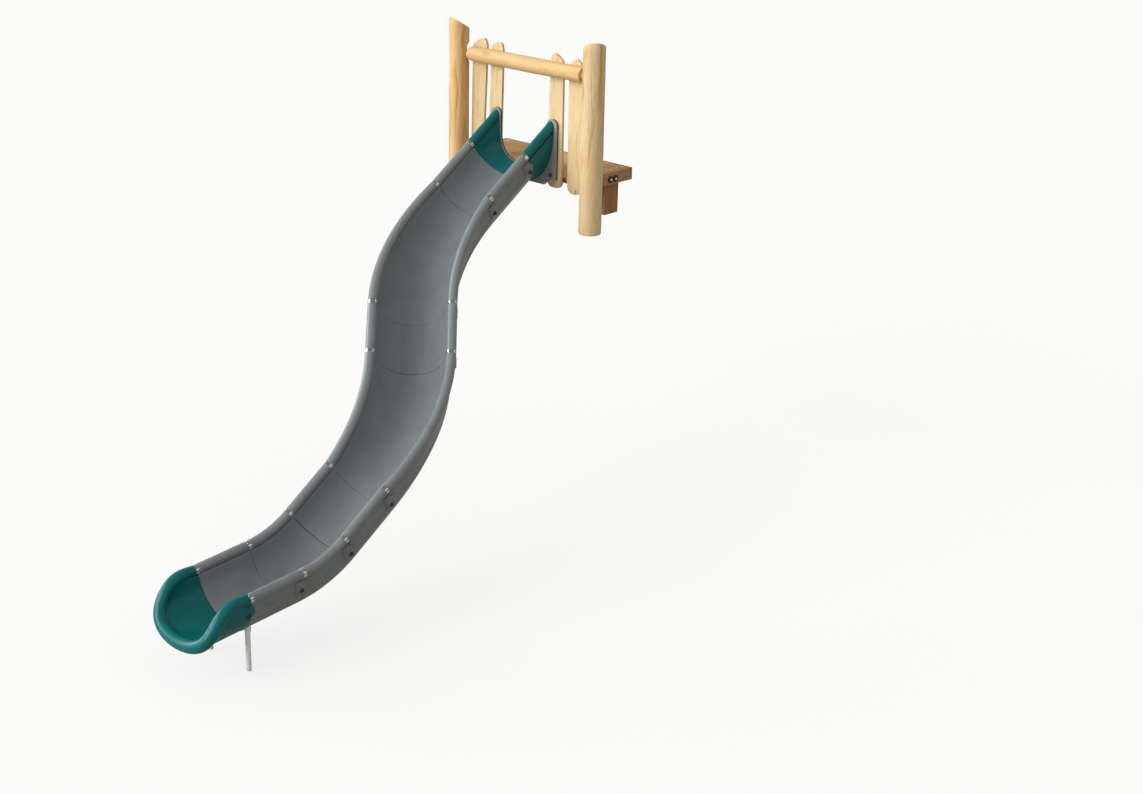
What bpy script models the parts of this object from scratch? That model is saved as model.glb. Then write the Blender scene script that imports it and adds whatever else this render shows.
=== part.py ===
# Embankment slide: a modular moulded chute (start section, two opposed 45 degree
# curves, straights, a run-out bend and a scoop-shaped exit) hung from a small
# timber start platform and carried by two tube legs at the lower end.
# Metres, +Z up. X runs along the crossbar, the chute leaves towards -Y.
import math

import bmesh
import bpy
from mathutils import Matrix, Vector

for old in list(bpy.data.objects):
    bpy.data.objects.remove(old, do_unlink=True)

# ---------------------------------------------------------------- dimensions
W = 0.550                 # rail centre to rail centre
RAIL_R = 0.0338           # moulded hand rail
SLOPE = math.radians(34.4)
RUN_OUT = math.radians(4.6)
TURN = math.radians(45.0)
CURVE_R = 1.097           # plan radius of both curves, on the centre line
BEND_R = 0.714            # radius of the bend into the run-out
STRAIGHT = 0.4205         # length of every straight module
INNER_R = 0.239           # inside radius of the trough
OUTER_R = 0.305           # outside radius of the trough
OUTER_LOW = 0.2965        # the same from the bend's lower end down to the exit
PANEL_DEPTH = 0.0125      # recess of the side panels
CENTRE_DROP = 0.015       # trough centre below the rail centres
JOINT_GAP = 0.0002        # each trough end stops this far short of its joint
RAIL_SETBACK = 0.0130     # each rail end stops this far short of its joint
BLOCK = 0.062             # plain end block beside the panels, at a module's upper joint
BLOCK_LOW = 0.028         # the same at its lower joint
SPIGOT_R = 0.0200
SPIGOT_LEN = 0.038
COLLAR_R = 0.0330
CLEAR = 0.0003            # gap between touching pieces

PLATE_Y = 0.2680          # front face of the start plate (J1 at y = 0)
PLATE_T = 0.0120
BACKING_T = 0.0100
EAR_X = 0.2835
EAR_R = 0.0495
EAR_Z = 0.1880
PLATE_EDGE_X = 0.3330
ENTRY_TOP = 0.1650        # U opening of the plate: superellipse about this level
ENTRY_HALF = 0.2360
ENTRY_DEPTH = 0.3000
ENTRY_POWER = 0.656
ENTRY_OUT_HALF = 0.3050   # outside of the start section at the plate
ENTRY_OUT_DEPTH = 0.4150
ENTRY_OUT_POWER = 0.850
FOOT_Z = -0.2020
FOOT_IN_X = 0.2680
PLATE_LOW_X = 0.2190
PLATE_LOW_Z = -0.2520
PLATE_BOLT_X = 0.2860
PLATE_BOLT_Z = -0.1700

LUG_ANGLE = math.radians(13.5)
LUG_R = 0.0470
LUG_CENTRE = 0.0280
LUG_TOP = 0.0070
LUG_LIFT = 0.0012
LUG_BOLT_DOWN = 0.0205     # bolt below the tongue's middle line
LUG_BOLT_T = 0.0290
LUG_BOLT_R = 0.0160

POST_X_RIGHT = 0.7035
POST_X_LEFT = -0.6415
POST_Y = 0.2400
POST_R_RIGHT = 0.0806
POST_R_LEFT = 0.0753
POST_FOOT_Z = -0.5150
POST_TOP_RIGHT = 0.8100
RIGHT_CUT_X = 0.4305      # slanted cut of the right post
RIGHT_CUT_Y = -0.4036
POST_TOP_LEFT = 0.8190
LEFT_CUT_X = -0.231       # slanted cut of the left post
LEFT_CUT_Y = -0.550
NOTCH_FACE = math.radians(48)   # direction the notch in the left post opens to
NOTCH_FLOOR = 0.0500
NOTCH_UP = 0.0450         # height of the notch floor above and below the bar's axis
NOTCH_LOW = 0.0400
BAR_Y = 0.2585
BAR_Z = 0.6020
BAR_R = 0.0561
BAR_LEFT = -0.5590
BAR_END = 0.5895          # shoulder of the bar, before the tenon
TENON_R = 0.0300
TENON_END = 0.6550

BOARD_Y = 0.2906
BOARD_T = 0.0200
DECK_Z = -0.1290
PLANK_T = 0.0280
PLANK_GAP = 0.0040
PLANKS = 4
DECK_HALF = 0.6410
BEAM_T = 0.0400
BEAM_H = 0.0900
FRONT_BEAM_T = 0.0450
REAR_BEAM_T = 0.0600
FASCIA_T = 0.0220
DECK_BACK_Y = 0.7535
SIDE_BEAM_Y0 = 0.3240
REAR_POST = 0.1500
REAR_POST_X = 0.1450
REAR_POST_Y = 0.5830
REAR_POST_FOOT_Z = -0.4550

LEG_SPREAD = 0.1960
LEG_UP = 0.0220           # legs stand this far up-slope of the last joint
LEG_R = 0.01685
LEG_WALL = 0.0030
LEG_FOOT_Z = -2.5860
LEG_HOLE_Z = 0.0600
LEG_HOLE_R = 0.0055

SCOOP_A = 0.3355          # how far the exit reaches past the last joint
SCOOP_POWER = 0.294
SCOOP_FLARE = 0.45
SCOOP_HALF = 0.2736       # half width and depth of the lip line
SCOOP_DROP = 0.2888
SCOOP_SLOPE = -0.024
LIP_R0 = 0.0410
LIP_R1 = 0.0446


# ---------------------------------------------------------------- materials
def material(name, rgb, rough, metal=0.0):
    mat = bpy.data.materials.new(name)
    mat.use_nodes = True
    node = next(n for n in mat.node_tree.nodes if n.type == "BSDF_PRINCIPLED")
    node.inputs["Base Color"].default_value = (rgb[0], rgb[1], rgb[2], 1.0)
    node.inputs["Roughness"].default_value = rough
    node.inputs["Metallic"].default_value = metal
    mat.diffuse_color = (rgb[0], rgb[1], rgb[2], 1.0)
    return mat


def own(base, name):
    mat = base.copy()
    mat.name = name + "_material"
    return mat


GREY = material("grey_plastic", (0.155, 0.170, 0.180), 0.42)
TEAL = material("teal_plastic", (0.010, 0.150, 0.155), 0.35)
STEEL = material("polished_steel", (0.62, 0.61, 0.59), 0.12, 1.0)
ZINC = material("zinc_tube", (0.48, 0.49, 0.52), 0.45, 1.0)
WOOD = material("pale_timber", (0.640, 0.430, 0.210), 0.62)
DECK = material("deck_timber", (0.500, 0.270, 0.110), 0.66)
DARKWOOD = material("shaded_timber", (0.420, 0.240, 0.110), 0.70)
PLATE = material("plate_grey", (0.210, 0.225, 0.230), 0.38)
BLACK = material("black_rubber", (0.012, 0.011, 0.012), 0.55)
CAP = material("black_cap", (0.020, 0.020, 0.021), 0.35)
CHROME = material("chrome_nut", (0.75, 0.75, 0.76), 0.08, 1.0)


# ---------------------------------------------------------------- mesh tools
def face_out(bm):
    bmesh.ops.recalc_face_normals(bm, faces=bm.faces)
    if bm.calc_volume(signed=True) < 0:
        bmesh.ops.reverse_faces(bm, faces=bm.faces)


def finish(name, bm, base, smooth=True, angle=35.0):
    bmesh.ops.remove_doubles(bm, verts=bm.verts, dist=0.00002)
    face_out(bm)
    mesh = bpy.data.meshes.new(name)
    bm.to_mesh(mesh)
    bm.free()
    obj = bpy.data.objects.new(name, mesh)
    bpy.context.scene.collection.objects.link(obj)
    mesh.materials.append(own(base, name))
    if smooth:
        mesh.shade_smooth()
        mesh.set_sharp_from_angle(angle=math.radians(angle))
    return obj


def raw(name, bm):
    face_out(bm)
    mesh = bpy.data.meshes.new(name)
    bm.to_mesh(mesh)
    bm.free()
    obj = bpy.data.objects.new(name, mesh)
    bpy.context.scene.collection.objects.link(obj)
    return obj


def boolean(target, cutter, operation, keep=False):
    mod = target.modifiers.new("cut", "BOOLEAN")
    mod.operation = operation
    mod.solver = "EXACT"
    mod.object = cutter
    graph = bpy.context.evaluated_depsgraph_get()
    graph.update()
    result = bpy.data.meshes.new_from_object(target.evaluated_get(graph))
    target.modifiers.remove(mod)
    old_mesh = target.data
    names = [m for m in old_mesh.materials]
    target.data = result
    result.materials.clear()
    for m in names:
        result.materials.append(m)
    for poly in result.polygons:
        poly.material_index = 0
    bpy.data.meshes.remove(old_mesh)
    if not keep:
        bpy.data.objects.remove(cutter, do_unlink=True)


def tidy(obj, smooth=True, angle=35.0):
    bm = bmesh.new()
    bm.from_mesh(obj.data)
    bmesh.ops.remove_doubles(bm, verts=bm.verts, dist=0.00005)
    bmesh.ops.dissolve_degenerate(bm, edges=bm.edges, dist=0.00005)
    bm.to_mesh(obj.data)
    bm.free()
    if smooth:
        obj.data.shade_smooth()
        obj.data.set_sharp_from_angle(angle=math.radians(angle))


def prism(bm, outline, low, high, place):
    """Closed prism: 2-D outline (u, v) between heights low and high."""
    a = [bm.verts.new(place(u, v, low)) for u, v in outline]
    b = [bm.verts.new(place(u, v, high)) for u, v in outline]
    n = len(outline)
    for i in range(n):
        j = (i + 1) % n
        bm.faces.new((a[i], a[j], b[j], b[i]))
    bm.faces.new(list(reversed(a)))
    bm.faces.new(b)


def box(name, x0, x1, y0, y1, z0, z1, base, bevel=0.003):
    bm = bmesh.new()
    prism(bm, [(x0, y0), (x1, y0), (x1, y1), (x0, y1)], z0, z1, lambda u, v, h: Vector((u, v, h)))
    if bevel:
        bmesh.ops.bevel(bm, geom=bm.edges[:], offset=bevel, segments=1, affect="EDGES", profile=0.5)
    return finish(name, bm, base, smooth=False)


def lathe(bm, profile, sides, place):
    """Closed turned solid. profile: (radius, height) from one axis end to the other."""
    rings = []
    for radius, height in profile:
        if radius <= 0.0:
            rings.append([bm.verts.new(place(0.0, 0.0, height))])
        else:
            rings.append([bm.verts.new(place(radius * math.cos(2 * math.pi * k / sides),
                                             radius * math.sin(2 * math.pi * k / sides), height))
                          for k in range(sides)])
    for lower, upper in zip(rings, rings[1:]):
        for k in range(sides):
            m = (k + 1) % sides
            if len(lower) == 1:
                bm.faces.new((lower[0], upper[m], upper[k]))
            elif len(upper) == 1:
                bm.faces.new((lower[k], lower[m], upper[0]))
            else:
                bm.faces.new((lower[k], lower[m], upper[m], upper[k]))
    if len(rings[0]) > 1:
        bm.faces.new(list(reversed(rings[0])))
    if len(rings[-1]) > 1:
        bm.faces.new(rings[-1])


def axes(origin, u, v, w):
    return lambda a, b, c: origin + u * a + v * b + w * c


def frame_about(direction):
    d = direction.normalized()
    side = Vector((0, 0, 1)).cross(d)
    if side.length < 1e-6:
        side = Vector((1, 0, 0))
    side.normalize()
    return side, d.cross(side), d


def bolt(name, point, direction, radius, height, shank_r, shank_len, base, sides=12, socket=True):
    """Cap head standing on a surface at point, shank running back into it."""
    u, v, d = frame_about(direction)
    bm = bmesh.new()
    profile = [(shank_r, -shank_len), (shank_r, CLEAR), (radius, CLEAR), (radius, height * 0.55),
               (radius * 0.80, height)]
    if socket:
        profile += [(radius * 0.42, height), (radius * 0.36, height * 0.45), (0.0, height * 0.45)]
    else:
        profile += [(radius * 0.40, height * 1.35), (0.0, height * 1.45)]
    lathe(bm, profile, sides, axes(point, u, v, d))
    return finish(name, bm, base, angle=30.0)


def shank_hole(point, direction, shank_r, shank_len):
    u, v, d = frame_about(direction)
    bm = bmesh.new()
    lathe(bm, [(shank_r + CLEAR, -shank_len - CLEAR), (shank_r + CLEAR, 0.02)], 12, axes(point, u, v, d))
    return raw("hole", bm)


# ---------------------------------------------------------------- chute path
class Station:
    def __init__(self, pos, heading, slope):
        ch, sh = math.cos(heading), math.sin(heading)
        cs, ss = math.cos(slope), math.sin(slope)
        self.pos = Vector(pos)
        self.t = Vector((ch * cs, sh * cs, -ss))
        self.c = Vector((-sh, ch, 0.0))
        self.n = Vector((ch * ss, sh * ss, cs))
        self.heading = heading
        self.slope = slope

    def at(self, c, n, t=0.0):
        return self.pos + self.c * c + self.n * n + self.t * t


def straight_path(start, length):
    def path(s):
        return Station(start.pos + start.t * s, start.heading, start.slope)
    return path, length


def curve_path(start, turn):
    def path(s):
        angle = s / CURVE_R * (1 if turn > 0 else -1)
        chord = 2 * CURVE_R * math.sin(abs(angle) / 2)
        mid = start.heading + angle / 2
        pos = start.pos + Vector((chord * math.cos(mid), chord * math.sin(mid),
                                  -s * math.tan(start.slope)))
        return Station(pos, start.heading + angle, start.slope)
    return path, CURVE_R * abs(turn)


def bend_path(start, end_slope):
    def path(s):
        slope = start.slope - s / BEND_R
        run = BEND_R * (math.sin(start.slope) - math.sin(slope))
        drop = BEND_R * (math.cos(slope) - math.cos(start.slope))
        pos = start.pos + Vector((run * math.cos(start.heading), run * math.sin(start.heading), -drop))
        return Station(pos, start.heading, slope)
    return path, BEND_R * (start.slope - end_slope)


# ---------------------------------------------------------------- trough section
INNER_ANGLES = [math.radians(a) for a in (4, 18, 32, 47, 61, 76, 90)]
OUTER_ANGLES = [math.radians(a) for a in (7, 8.6, 34, 36, 54, 72, 90)]
PANEL_POINTS = (1, 2)
UPPER_ARC = [math.radians(a) for a in (210, 180, 150, 120, 90, 60, 30, 0, -30)]
LOWER_ARC = [math.radians(a) for a in (240, 270, 300)]
ROUND = 12                # sides of the rail, bore and spigot rounds


def half_section(recessed, outer_r):
    """Points (c, n) of the right half: inner arc from the rail down, rail arcs, outer arc."""
    inner = [(INNER_R * math.cos(a), -CENTRE_DROP - INNER_R * math.sin(a)) for a in INNER_ANGLES]
    outer = []
    for k, a in enumerate(OUTER_ANGLES):
        r = outer_r - (PANEL_DEPTH if (recessed and k in PANEL_POINTS) else 0.0)
        outer.append((r * math.cos(a), -CENTRE_DROP - r * math.sin(a)))
    upper = [(W / 2 + RAIL_R * math.cos(a), RAIL_R * math.sin(a)) for a in UPPER_ARC]
    lower = [(W / 2 + RAIL_R * math.cos(a), RAIL_R * math.sin(a)) for a in LOWER_ARC]
    return inner, upper, lower, outer


class Ring:
    """One station of a module: named vertex runs for both halves."""

    def __init__(self, bm, place, recessed, with_rail=True, with_saddle=False, outer_r=OUTER_R):
        inner, upper, lower, outer = half_section(recessed, outer_r)
        self.side = {}
        for sign in (1, -1):
            def make(q, wall="", k=0):
                return bm.verts.new(place(sign * q[0], q[1], wall, k))
            run = {"inner": [make(q, "inner", k) for k, q in enumerate(inner[:-1])],
                   "outer": [make(q, "outer", k) for k, q in enumerate(outer[:-1])],
                   "contact_in": make(upper[0]), "contact_out": make(upper[-1]),
                   "upper": [make(q) for q in upper[1:-1]] if with_rail else [],
                   "lower": [make(q) for q in lower] if with_saddle else []}
            self.side[sign] = run
        self.inner_mid = bm.verts.new(place(0.0, inner[-1][1], "inner", len(inner) - 1))
        self.outer_mid = bm.verts.new(place(0.0, outer[-1][1], "outer", len(outer) - 1))

    def loop(self, rail=True):
        """Whole outline as one closed list of vertices."""
        out = []
        r, l = self.side[1], self.side[-1]
        out += [self.inner_mid] + list(reversed(r["inner"])) + [r["contact_in"]]
        out += r["upper"] if rail else r["lower"]
        out += [r["contact_out"]] + r["outer"] + [self.outer_mid]
        out += list(reversed(l["outer"])) + [l["contact_out"]]
        out += list(reversed(l["upper"] if rail else l["lower"]))
        out += [l["contact_in"]] + l["inner"]
        return out


def entry_point(a, grow=0.0, outside=False):
    """Point (x, z) of the U shape where the start section meets the plate."""
    half, depth, power = ENTRY_HALF + grow, ENTRY_DEPTH + grow, ENTRY_POWER
    if outside:
        half, depth, power = ENTRY_OUT_HALF, ENTRY_OUT_DEPTH, ENTRY_OUT_POWER
    return (half * abs(math.cos(a)) ** power if a < math.pi / 2 - 1e-6 else 0.0,
            ENTRY_TOP - depth * math.sin(a) ** power)


def skin(bm, a, b):
    n = len(a)
    for i in range(n):
        j = (i + 1) % n
        bm.faces.new((a[i], a[j], b[j], b[i]))


def wall_cap(bm, ring, with_rail):
    for sign in (1, -1):
        run = ring.side[sign]
        inner = run["inner"] + [ring.inner_mid]
        outer = run["outer"] + [ring.outer_mid]
        for k in range(len(inner) - 1):
            bm.faces.new((inner[k], inner[k + 1], outer[k + 1], outer[k]))
        arc = run["upper"] if with_rail else run["lower"]
        bm.faces.new([inner[0], run["contact_in"]] + arc + [run["contact_out"], outer[0]])


def rail_end(bm, ring, place, depth):
    """Annular rail end with a blind bore; place(c, n, t) with t into the module."""
    for sign in (1, -1):
        run = ring.side[sign]
        circle = [run["contact_in"]] + run["upper"] + [run["contact_out"]] + list(reversed(run["lower"]))
        bore, floor = [], []
        for vert, ang in zip(circle, UPPER_ARC + list(reversed(LOWER_ARC))):
            q = (sign * (W / 2 + (SPIGOT_R + CLEAR) * math.cos(ang)), (SPIGOT_R + CLEAR) * math.sin(ang))
            bore.append(bm.verts.new(place(q[0], q[1], 0.0)))
            floor.append(bm.verts.new(place(q[0], q[1], depth)))
        skin(bm, circle, bore)
        skin(bm, bore, floor)
        bm.faces.new(floor)


def end_rings(bm, foot, outer_r):
    """Rail end and wall end at the lower joint of a module; returns the ring to join up to."""
    depth = SPIGOT_LEN + 0.004
    last = Ring(bm, lambda c, n, w, k: foot.at(c, n, -RAIL_SETBACK), False, True, True, outer_r)
    rail_end(bm, last, lambda c, n, t: foot.at(c, n, -RAIL_SETBACK - t), depth)
    tail = Ring(bm, lambda c, n, w, k: foot.at(c, n, -JOINT_GAP), False, False, True, outer_r)
    skin(bm, last.loop(False), tail.loop(False))
    wall_cap(bm, tail, False)
    return last


def module(name, path, length, base, segments, outer=(OUTER_R, OUTER_R)):
    """Moulded chute module between two joints, with a recessed panel along each side."""
    bm = bmesh.new()
    head, foot = path(0.0), path(length)
    lead = Ring(bm, lambda c, n, w, k: head.at(c, n, JOINT_GAP), False, False, True, outer[0])
    wall_cap(bm, lead, False)
    ring = Ring(bm, lambda c, n, w, k: head.at(c, n, RAIL_SETBACK), False, True, True, outer[0])
    skin(bm, lead.loop(False), ring.loop(False))
    rail_end(bm, ring, lambda c, n, t: head.at(c, n, RAIL_SETBACK + t), SPIGOT_LEN + 0.004)
    stops = [(BLOCK, False), (BLOCK + 0.010, True)]
    for k in range(1, segments):
        s = length * k / segments
        if BLOCK + 0.02 < s < length - BLOCK_LOW - 0.02:
            stops.append((s, True))
    stops += [(length - BLOCK_LOW - 0.010, True), (length - BLOCK_LOW, False)]
    for s, recessed in stops:
        st = path(s)
        r = outer[0] + (outer[1] - outer[0]) * s / length
        nxt = Ring(bm, lambda c, n, w, k: st.at(c, n), recessed, outer_r=r)
        skin(bm, ring.loop(), nxt.loop())
        ring = nxt
    skin(bm, ring.loop(), end_rings(bm, foot, outer[1]).loop())
    bmesh.ops.connect_verts_nonplanar(bm, angle_limit=0.0005, faces=bm.faces[:])
    return finish(name, bm, base, angle=40.0)


def entry_module(name, foot, base, steps):
    """Start section: grows from a U shape at the vertical plate into the trough."""
    bm = bmesh.new()

    def placer(q):
        def place(c, n, wall, k):
            end = foot.at(c, n, -RAIL_SETBACK)
            reach = (PLATE_Y - CLEAR - end.y) / -foot.t.y
            start = end - foot.t * reach
            if wall:
                angle = (INNER_ANGLES if wall == "inner" else OUTER_ANGLES)[k]
                x, z = entry_point(angle, outside=(wall == "outer"))
                start = Vector((x if c > 0 else -x, start.y, z))
            middle = end - foot.t * (reach * 0.5)
            return start * (1 - q) ** 2 + middle * (2 * q * (1 - q)) + end * q * q
        return place

    ring = Ring(bm, placer(0.0), False)
    wall_cap(bm, ring, True)
    for k in range(1, steps):
        nxt = Ring(bm, placer(k / steps), False)
        skin(bm, ring.loop(), nxt.loop())
        ring = nxt
    skin(bm, ring.loop(), end_rings(bm, foot, OUTER_R).loop())
    bmesh.ops.connect_verts_nonplanar(bm, angle_limit=0.0005, faces=bm.faces[:])
    return finish(name, bm, base, angle=40.0)


# ---------------------------------------------------------------- joint lugs
def lug_frame(station, sign):
    out = station.c * (sign * math.cos(LUG_ANGLE)) - station.n * math.sin(LUG_ANGLE)
    r = station.outer
    base = station.at(sign * r * math.cos(LUG_ANGLE), -CENTRE_DROP - r * math.sin(LUG_ANGLE))
    across = out.cross(station.t)
    return base, station.t, across, out


def bolt_seat(station, sign):
    base, t, across, out = lug_frame(station, sign)
    return base + t * LUG_BOLT_T + across * (sign * LUG_BOLT_DOWN) + out * LUG_TOP, out


def lug(station, sign):
    """Rounded tongue on the up-slope end of a module, lapping over its neighbour."""
    base, t, across, out = lug_frame(station, sign)
    bm = bmesh.new()
    tip = LUG_CENTRE - LUG_R
    side = [(tip - 0.01, LUG_LIFT), (tip - 0.01, LUG_TOP), (0.046, LUG_TOP), (0.064, -0.007),
            (JOINT_GAP + 0.0004, -0.007), (JOINT_GAP + 0.0004, LUG_LIFT)]
    prism(bm, side, -LUG_R * 1.2, LUG_R * 1.2, lambda u, v, h: base + t * u + out * v + across * h)
    block = raw("lug", bm)
    bm = bmesh.new()
    plan = [(0.10, -LUG_R), (0.10, LUG_R), (LUG_CENTRE, LUG_R)]
    for k in range(1, 12):
        a = math.pi / 2 + math.pi * k / 12
        plan.append((LUG_CENTRE + LUG_R * math.cos(a), LUG_R * math.sin(a)))
    plan.append((LUG_CENTRE, -LUG_R))
    prism(bm, plan, -0.02, 0.02, lambda u, v, h: base + t * u + across * v + out * h)
    boolean(block, raw("plan", bm), "INTERSECT")
    return block


def add_lugs(obj, station, bolts=(1,)):
    for sign in (1, -1):
        boolean(obj, lug(station, sign), "UNION")
    tidy(obj, angle=40.0)
    for sign in (1, -1):
        point, out = bolt_seat(station, sign)
        if sign in bolts:
            boolean(obj, shank_hole(point, out, 0.006, 0.026), "DIFFERENCE")
    tidy(obj, angle=40.0)


# ---------------------------------------------------------------- chute
j1 = Station((0, 0, 0), math.radians(-90), SLOPE)
s1_path, s1_len = straight_path(j1, STRAIGHT)
j2 = s1_path(s1_len)
c2_path, c2_len = curve_path(j2, TURN)
j3 = c2_path(c2_len)
s3_path, s3_len = straight_path(j3, STRAIGHT)
j4 = s3_path(s3_len)
c4_path, c4_len = curve_path(j4, -TURN)
j5 = c4_path(c4_len)
s5_path, s5_len = straight_path(j5, STRAIGHT)
j6 = s5_path(s5_len)
b6_path, b6_len = bend_path(j6, RUN_OUT)
j7 = b6_path(b6_len)
s7_path, s7_len = straight_path(j7, STRAIGHT)
j8 = s7_path(s7_len)
joints = [j1, j2, j3, j4, j5, j6, j7, j8]
for joint in joints:
    joint.outer = OUTER_LOW if joint in (j7, j8) else OUTER_R

start_section = entry_module("start_section", j1, TEAL, 4)
straight_1 = module("straight_1", s1_path, s1_len, GREY, 1)
curve_left = module("curve_left", c2_path, c2_len, GREY, 7)
straight_2 = module("straight_2", s3_path, s3_len, GREY, 1)
curve_right = module("curve_right", c4_path, c4_len, GREY, 7)
straight_3 = module("straight_3", s5_path, s5_len, GREY, 1)
run_out_bend = module("run_out_bend", b6_path, b6_len, GREY, 4, (OUTER_R, OUTER_LOW))
run_out = module("run_out", s7_path, s7_len, GREY, 1, (OUTER_LOW, OUTER_LOW))


# ---------------------------------------------------------------- exit scoop
exit_frame = Station(j8.pos, j8.heading, SCOOP_SLOPE)


def lip_point(phi, sign):
    """Centre of the rolled lip; phi runs from 0 at the rail to 90 degrees at the front."""
    reach = SCOOP_A * math.sin(phi) ** SCOOP_POWER
    c = SCOOP_HALF * math.cos(phi) * (1 + SCOOP_FLARE * math.sin(phi) ** 2)
    return exit_frame.at(sign * c, -SCOOP_DROP * math.sin(phi), reach)


def scoop_wall(phi, sign, x, shift):
    """Point of the scoop wall: x 0 at the joint, 1 under the lip; shift moves it in or out."""
    mid = (INNER_R + OUTER_LOW) / 2
    root = j8.at(sign * mid * math.cos(phi), -CENTRE_DROP - mid * math.sin(phi), JOINT_GAP)
    end = lip_point(phi, sign)
    control = root + j8.t * ((end - root).length * 0.62)
    p = root * (1 - x) ** 2 + control * (2 * x * (1 - x)) + end * x * x
    return p + (j8.c * (sign * math.cos(phi)) - j8.n * math.sin(phi)) * shift


def build_exit():
    columns = [(math.radians(p), 1) for p in (3.0, 6, 11, 18, 27, 38, 50, 62, 76, 90)]
    columns = columns + [(p, -1) for p, sign in reversed(columns[:-1])]
    rows = 7
    bm = bmesh.new()
    half = (OUTER_LOW - INNER_R) / 2
    inner, outer = [[[bm.verts.new(scoop_wall(phi, sign, k / rows, side * half)) for k in range(rows + 1)]
                     for phi, sign in columns] for side in (-1, 1)]
    count = len(columns)
    for grid in (inner, outer):
        for i in range(count - 1):
            for k in range(rows):
                bm.faces.new((grid[i][k], grid[i + 1][k], grid[i + 1][k + 1], grid[i][k + 1]))
    for i in range(count - 1):
        for k in (0, rows):
            bm.faces.new((inner[i][k], inner[i + 1][k], outer[i + 1][k], outer[i][k]))
    for i in (0, count - 1):
        for k in range(rows):
            bm.faces.new((inner[i][k], inner[i][k + 1], outer[i][k + 1], outer[i][k]))
    bmesh.ops.connect_verts_nonplanar(bm, angle_limit=0.0005, faces=bm.faces[:])
    obj = finish("exit_scoop", bm, TEAL)

    # rolled lip: a tube along the lip line, swelling a little towards the front
    us = [0.12, 0.28, 0.42, 0.54, 0.645, 0.735, 0.81, 0.875]
    track = [(math.asin(u ** (1 / SCOOP_POWER)), 1, u) for u in us]
    track += [(math.radians(d), 1, math.sin(math.radians(d)) ** SCOOP_POWER) for d in (50, 60, 70, 80, 90)]
    track += [(phi, -1, u) for phi, sign, u in reversed(track[:-1])]
    centres = [lip_point(phi, sign) for phi, sign, u in track]
    track = [(0.0, 1, 0.0)] + track + [(0.0, -1, 0.0)]
    centres = [j8.at(W / 2, 0.0, RAIL_SETBACK)] + centres + [j8.at(-W / 2, 0.0, RAIL_SETBACK)]
    sides = 14
    bm = bmesh.new()
    rings = []
    for i, centre in enumerate(centres):
        if i == 0:
            d = j8.t.copy()
        elif i == len(centres) - 1:
            d = -j8.t
        else:
            d = (centres[i + 1] - centres[i - 1]).normalized()
        phi, sign, v = track[i]
        outward = j8.c * (sign * math.cos(phi)) + Vector((0, 0, -1)) * math.sin(phi)
        side_vec = (outward - d * outward.dot(d)).normalized()
        other = d.cross(side_vec)
        grow = min(1.0, v / 0.45)
        radius = RAIL_R + (LIP_R0 - RAIL_R) * grow * grow * (3 - 2 * grow) + (LIP_R1 - LIP_R0) * math.sin(phi)
        ring = []
        for k in range(sides):
            a = 2 * math.pi * k / sides
            ring.append(bm.verts.new(centre + side_vec * (radius * math.cos(a)) + other * (radius * math.sin(a))))
        rings.append(ring)
    for a, b in zip(rings, rings[1:]):
        skin(bm, a, b)
    bm.faces.new(list(reversed(rings[0])))
    bm.faces.new(rings[-1])
    boolean(obj, raw("lip", bm), "UNION")
    for sign in (1, -1):
        bm = bmesh.new()
        origin = j8.at(sign * W / 2, 0.0, RAIL_SETBACK)
        lathe(bm, [(SPIGOT_R + CLEAR, -0.01), (SPIGOT_R + CLEAR, SPIGOT_LEN + 0.004)], ROUND,
              axes(origin, j8.c, j8.n, j8.t))
        boolean(obj, raw("bore", bm), "DIFFERENCE")
        bm = bmesh.new()
        lathe(bm, [(RAIL_R + 0.0004, -0.03), (RAIL_R + 0.0004, RAIL_SETBACK)], ROUND,
              axes(j8.at(sign * W / 2, 0.0, 0.0), j8.c, j8.n, j8.t))
        boolean(obj, raw("setback", bm), "DIFFERENCE")
    return obj


exit_scoop = build_exit()

owners = [straight_1, curve_left, straight_2, curve_right, straight_3, run_out_bend, run_out, exit_scoop]
for number, (owner, joint) in enumerate(zip(owners, joints), start=1):
    add_lugs(owner, joint)
    point, out = bolt_seat(joint, 1)
    bolt("lug_bolt_%d" % number, point, out, LUG_BOLT_R, 0.010,
         0.006, 0.025, CAP)

# rail couplings: a visible collar in each rail gap with a spigot into both rails
for number, joint in enumerate(joints, start=1):
    for sign, side in ((1, "left"), (-1, "right")):
        bm = bmesh.new()
        collar = RAIL_SETBACK - CLEAR
        lathe(bm, [(SPIGOT_R, -SPIGOT_LEN), (SPIGOT_R, -collar), (COLLAR_R, -collar), (COLLAR_R, collar),
                   (SPIGOT_R, collar), (SPIGOT_R, SPIGOT_LEN)],
              ROUND, axes(joint.at(sign * W / 2, 0.0), joint.c, joint.n, joint.t))
        finish("rail_coupling_%d_%s" % (number, side), bm, STEEL, angle=30.0)


# ---------------------------------------------------------------- start plate
def plate_outline(grow):
    """U-shaped plate seen along -Y: outer outline then the inner U, mirrored in X."""
    right = []
    for k in range(0, 9):
        a = math.pi - math.pi * k / 8
        right.append((EAR_X + EAR_R * math.cos(a), EAR_Z + EAR_R * math.sin(a)))
    right += [(PLATE_EDGE_X, FOOT_Z), (FOOT_IN_X, FOOT_Z), (PLATE_LOW_X, PLATE_LOW_Z)]
    inner = [entry_point(math.radians(d), grow) for d in (4, 9, 15, 23, 32, 42, 52, 62, 71, 81, 90)]
    pts = list(reversed(inner[:-1])) + right         # up the right side, over the ear, down the edge
    left = [(-x, z) for x, z in reversed(pts)]
    return pts + left + [(0.0, inner[-1][1])]


def plate(name, y0, y1, base, grow):
    bm = bmesh.new()
    prism(bm, plate_outline(grow), y0, y1, lambda u, v, h: Vector((u, h, v)))
    return finish(name, bm, base, smooth=False)


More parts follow.
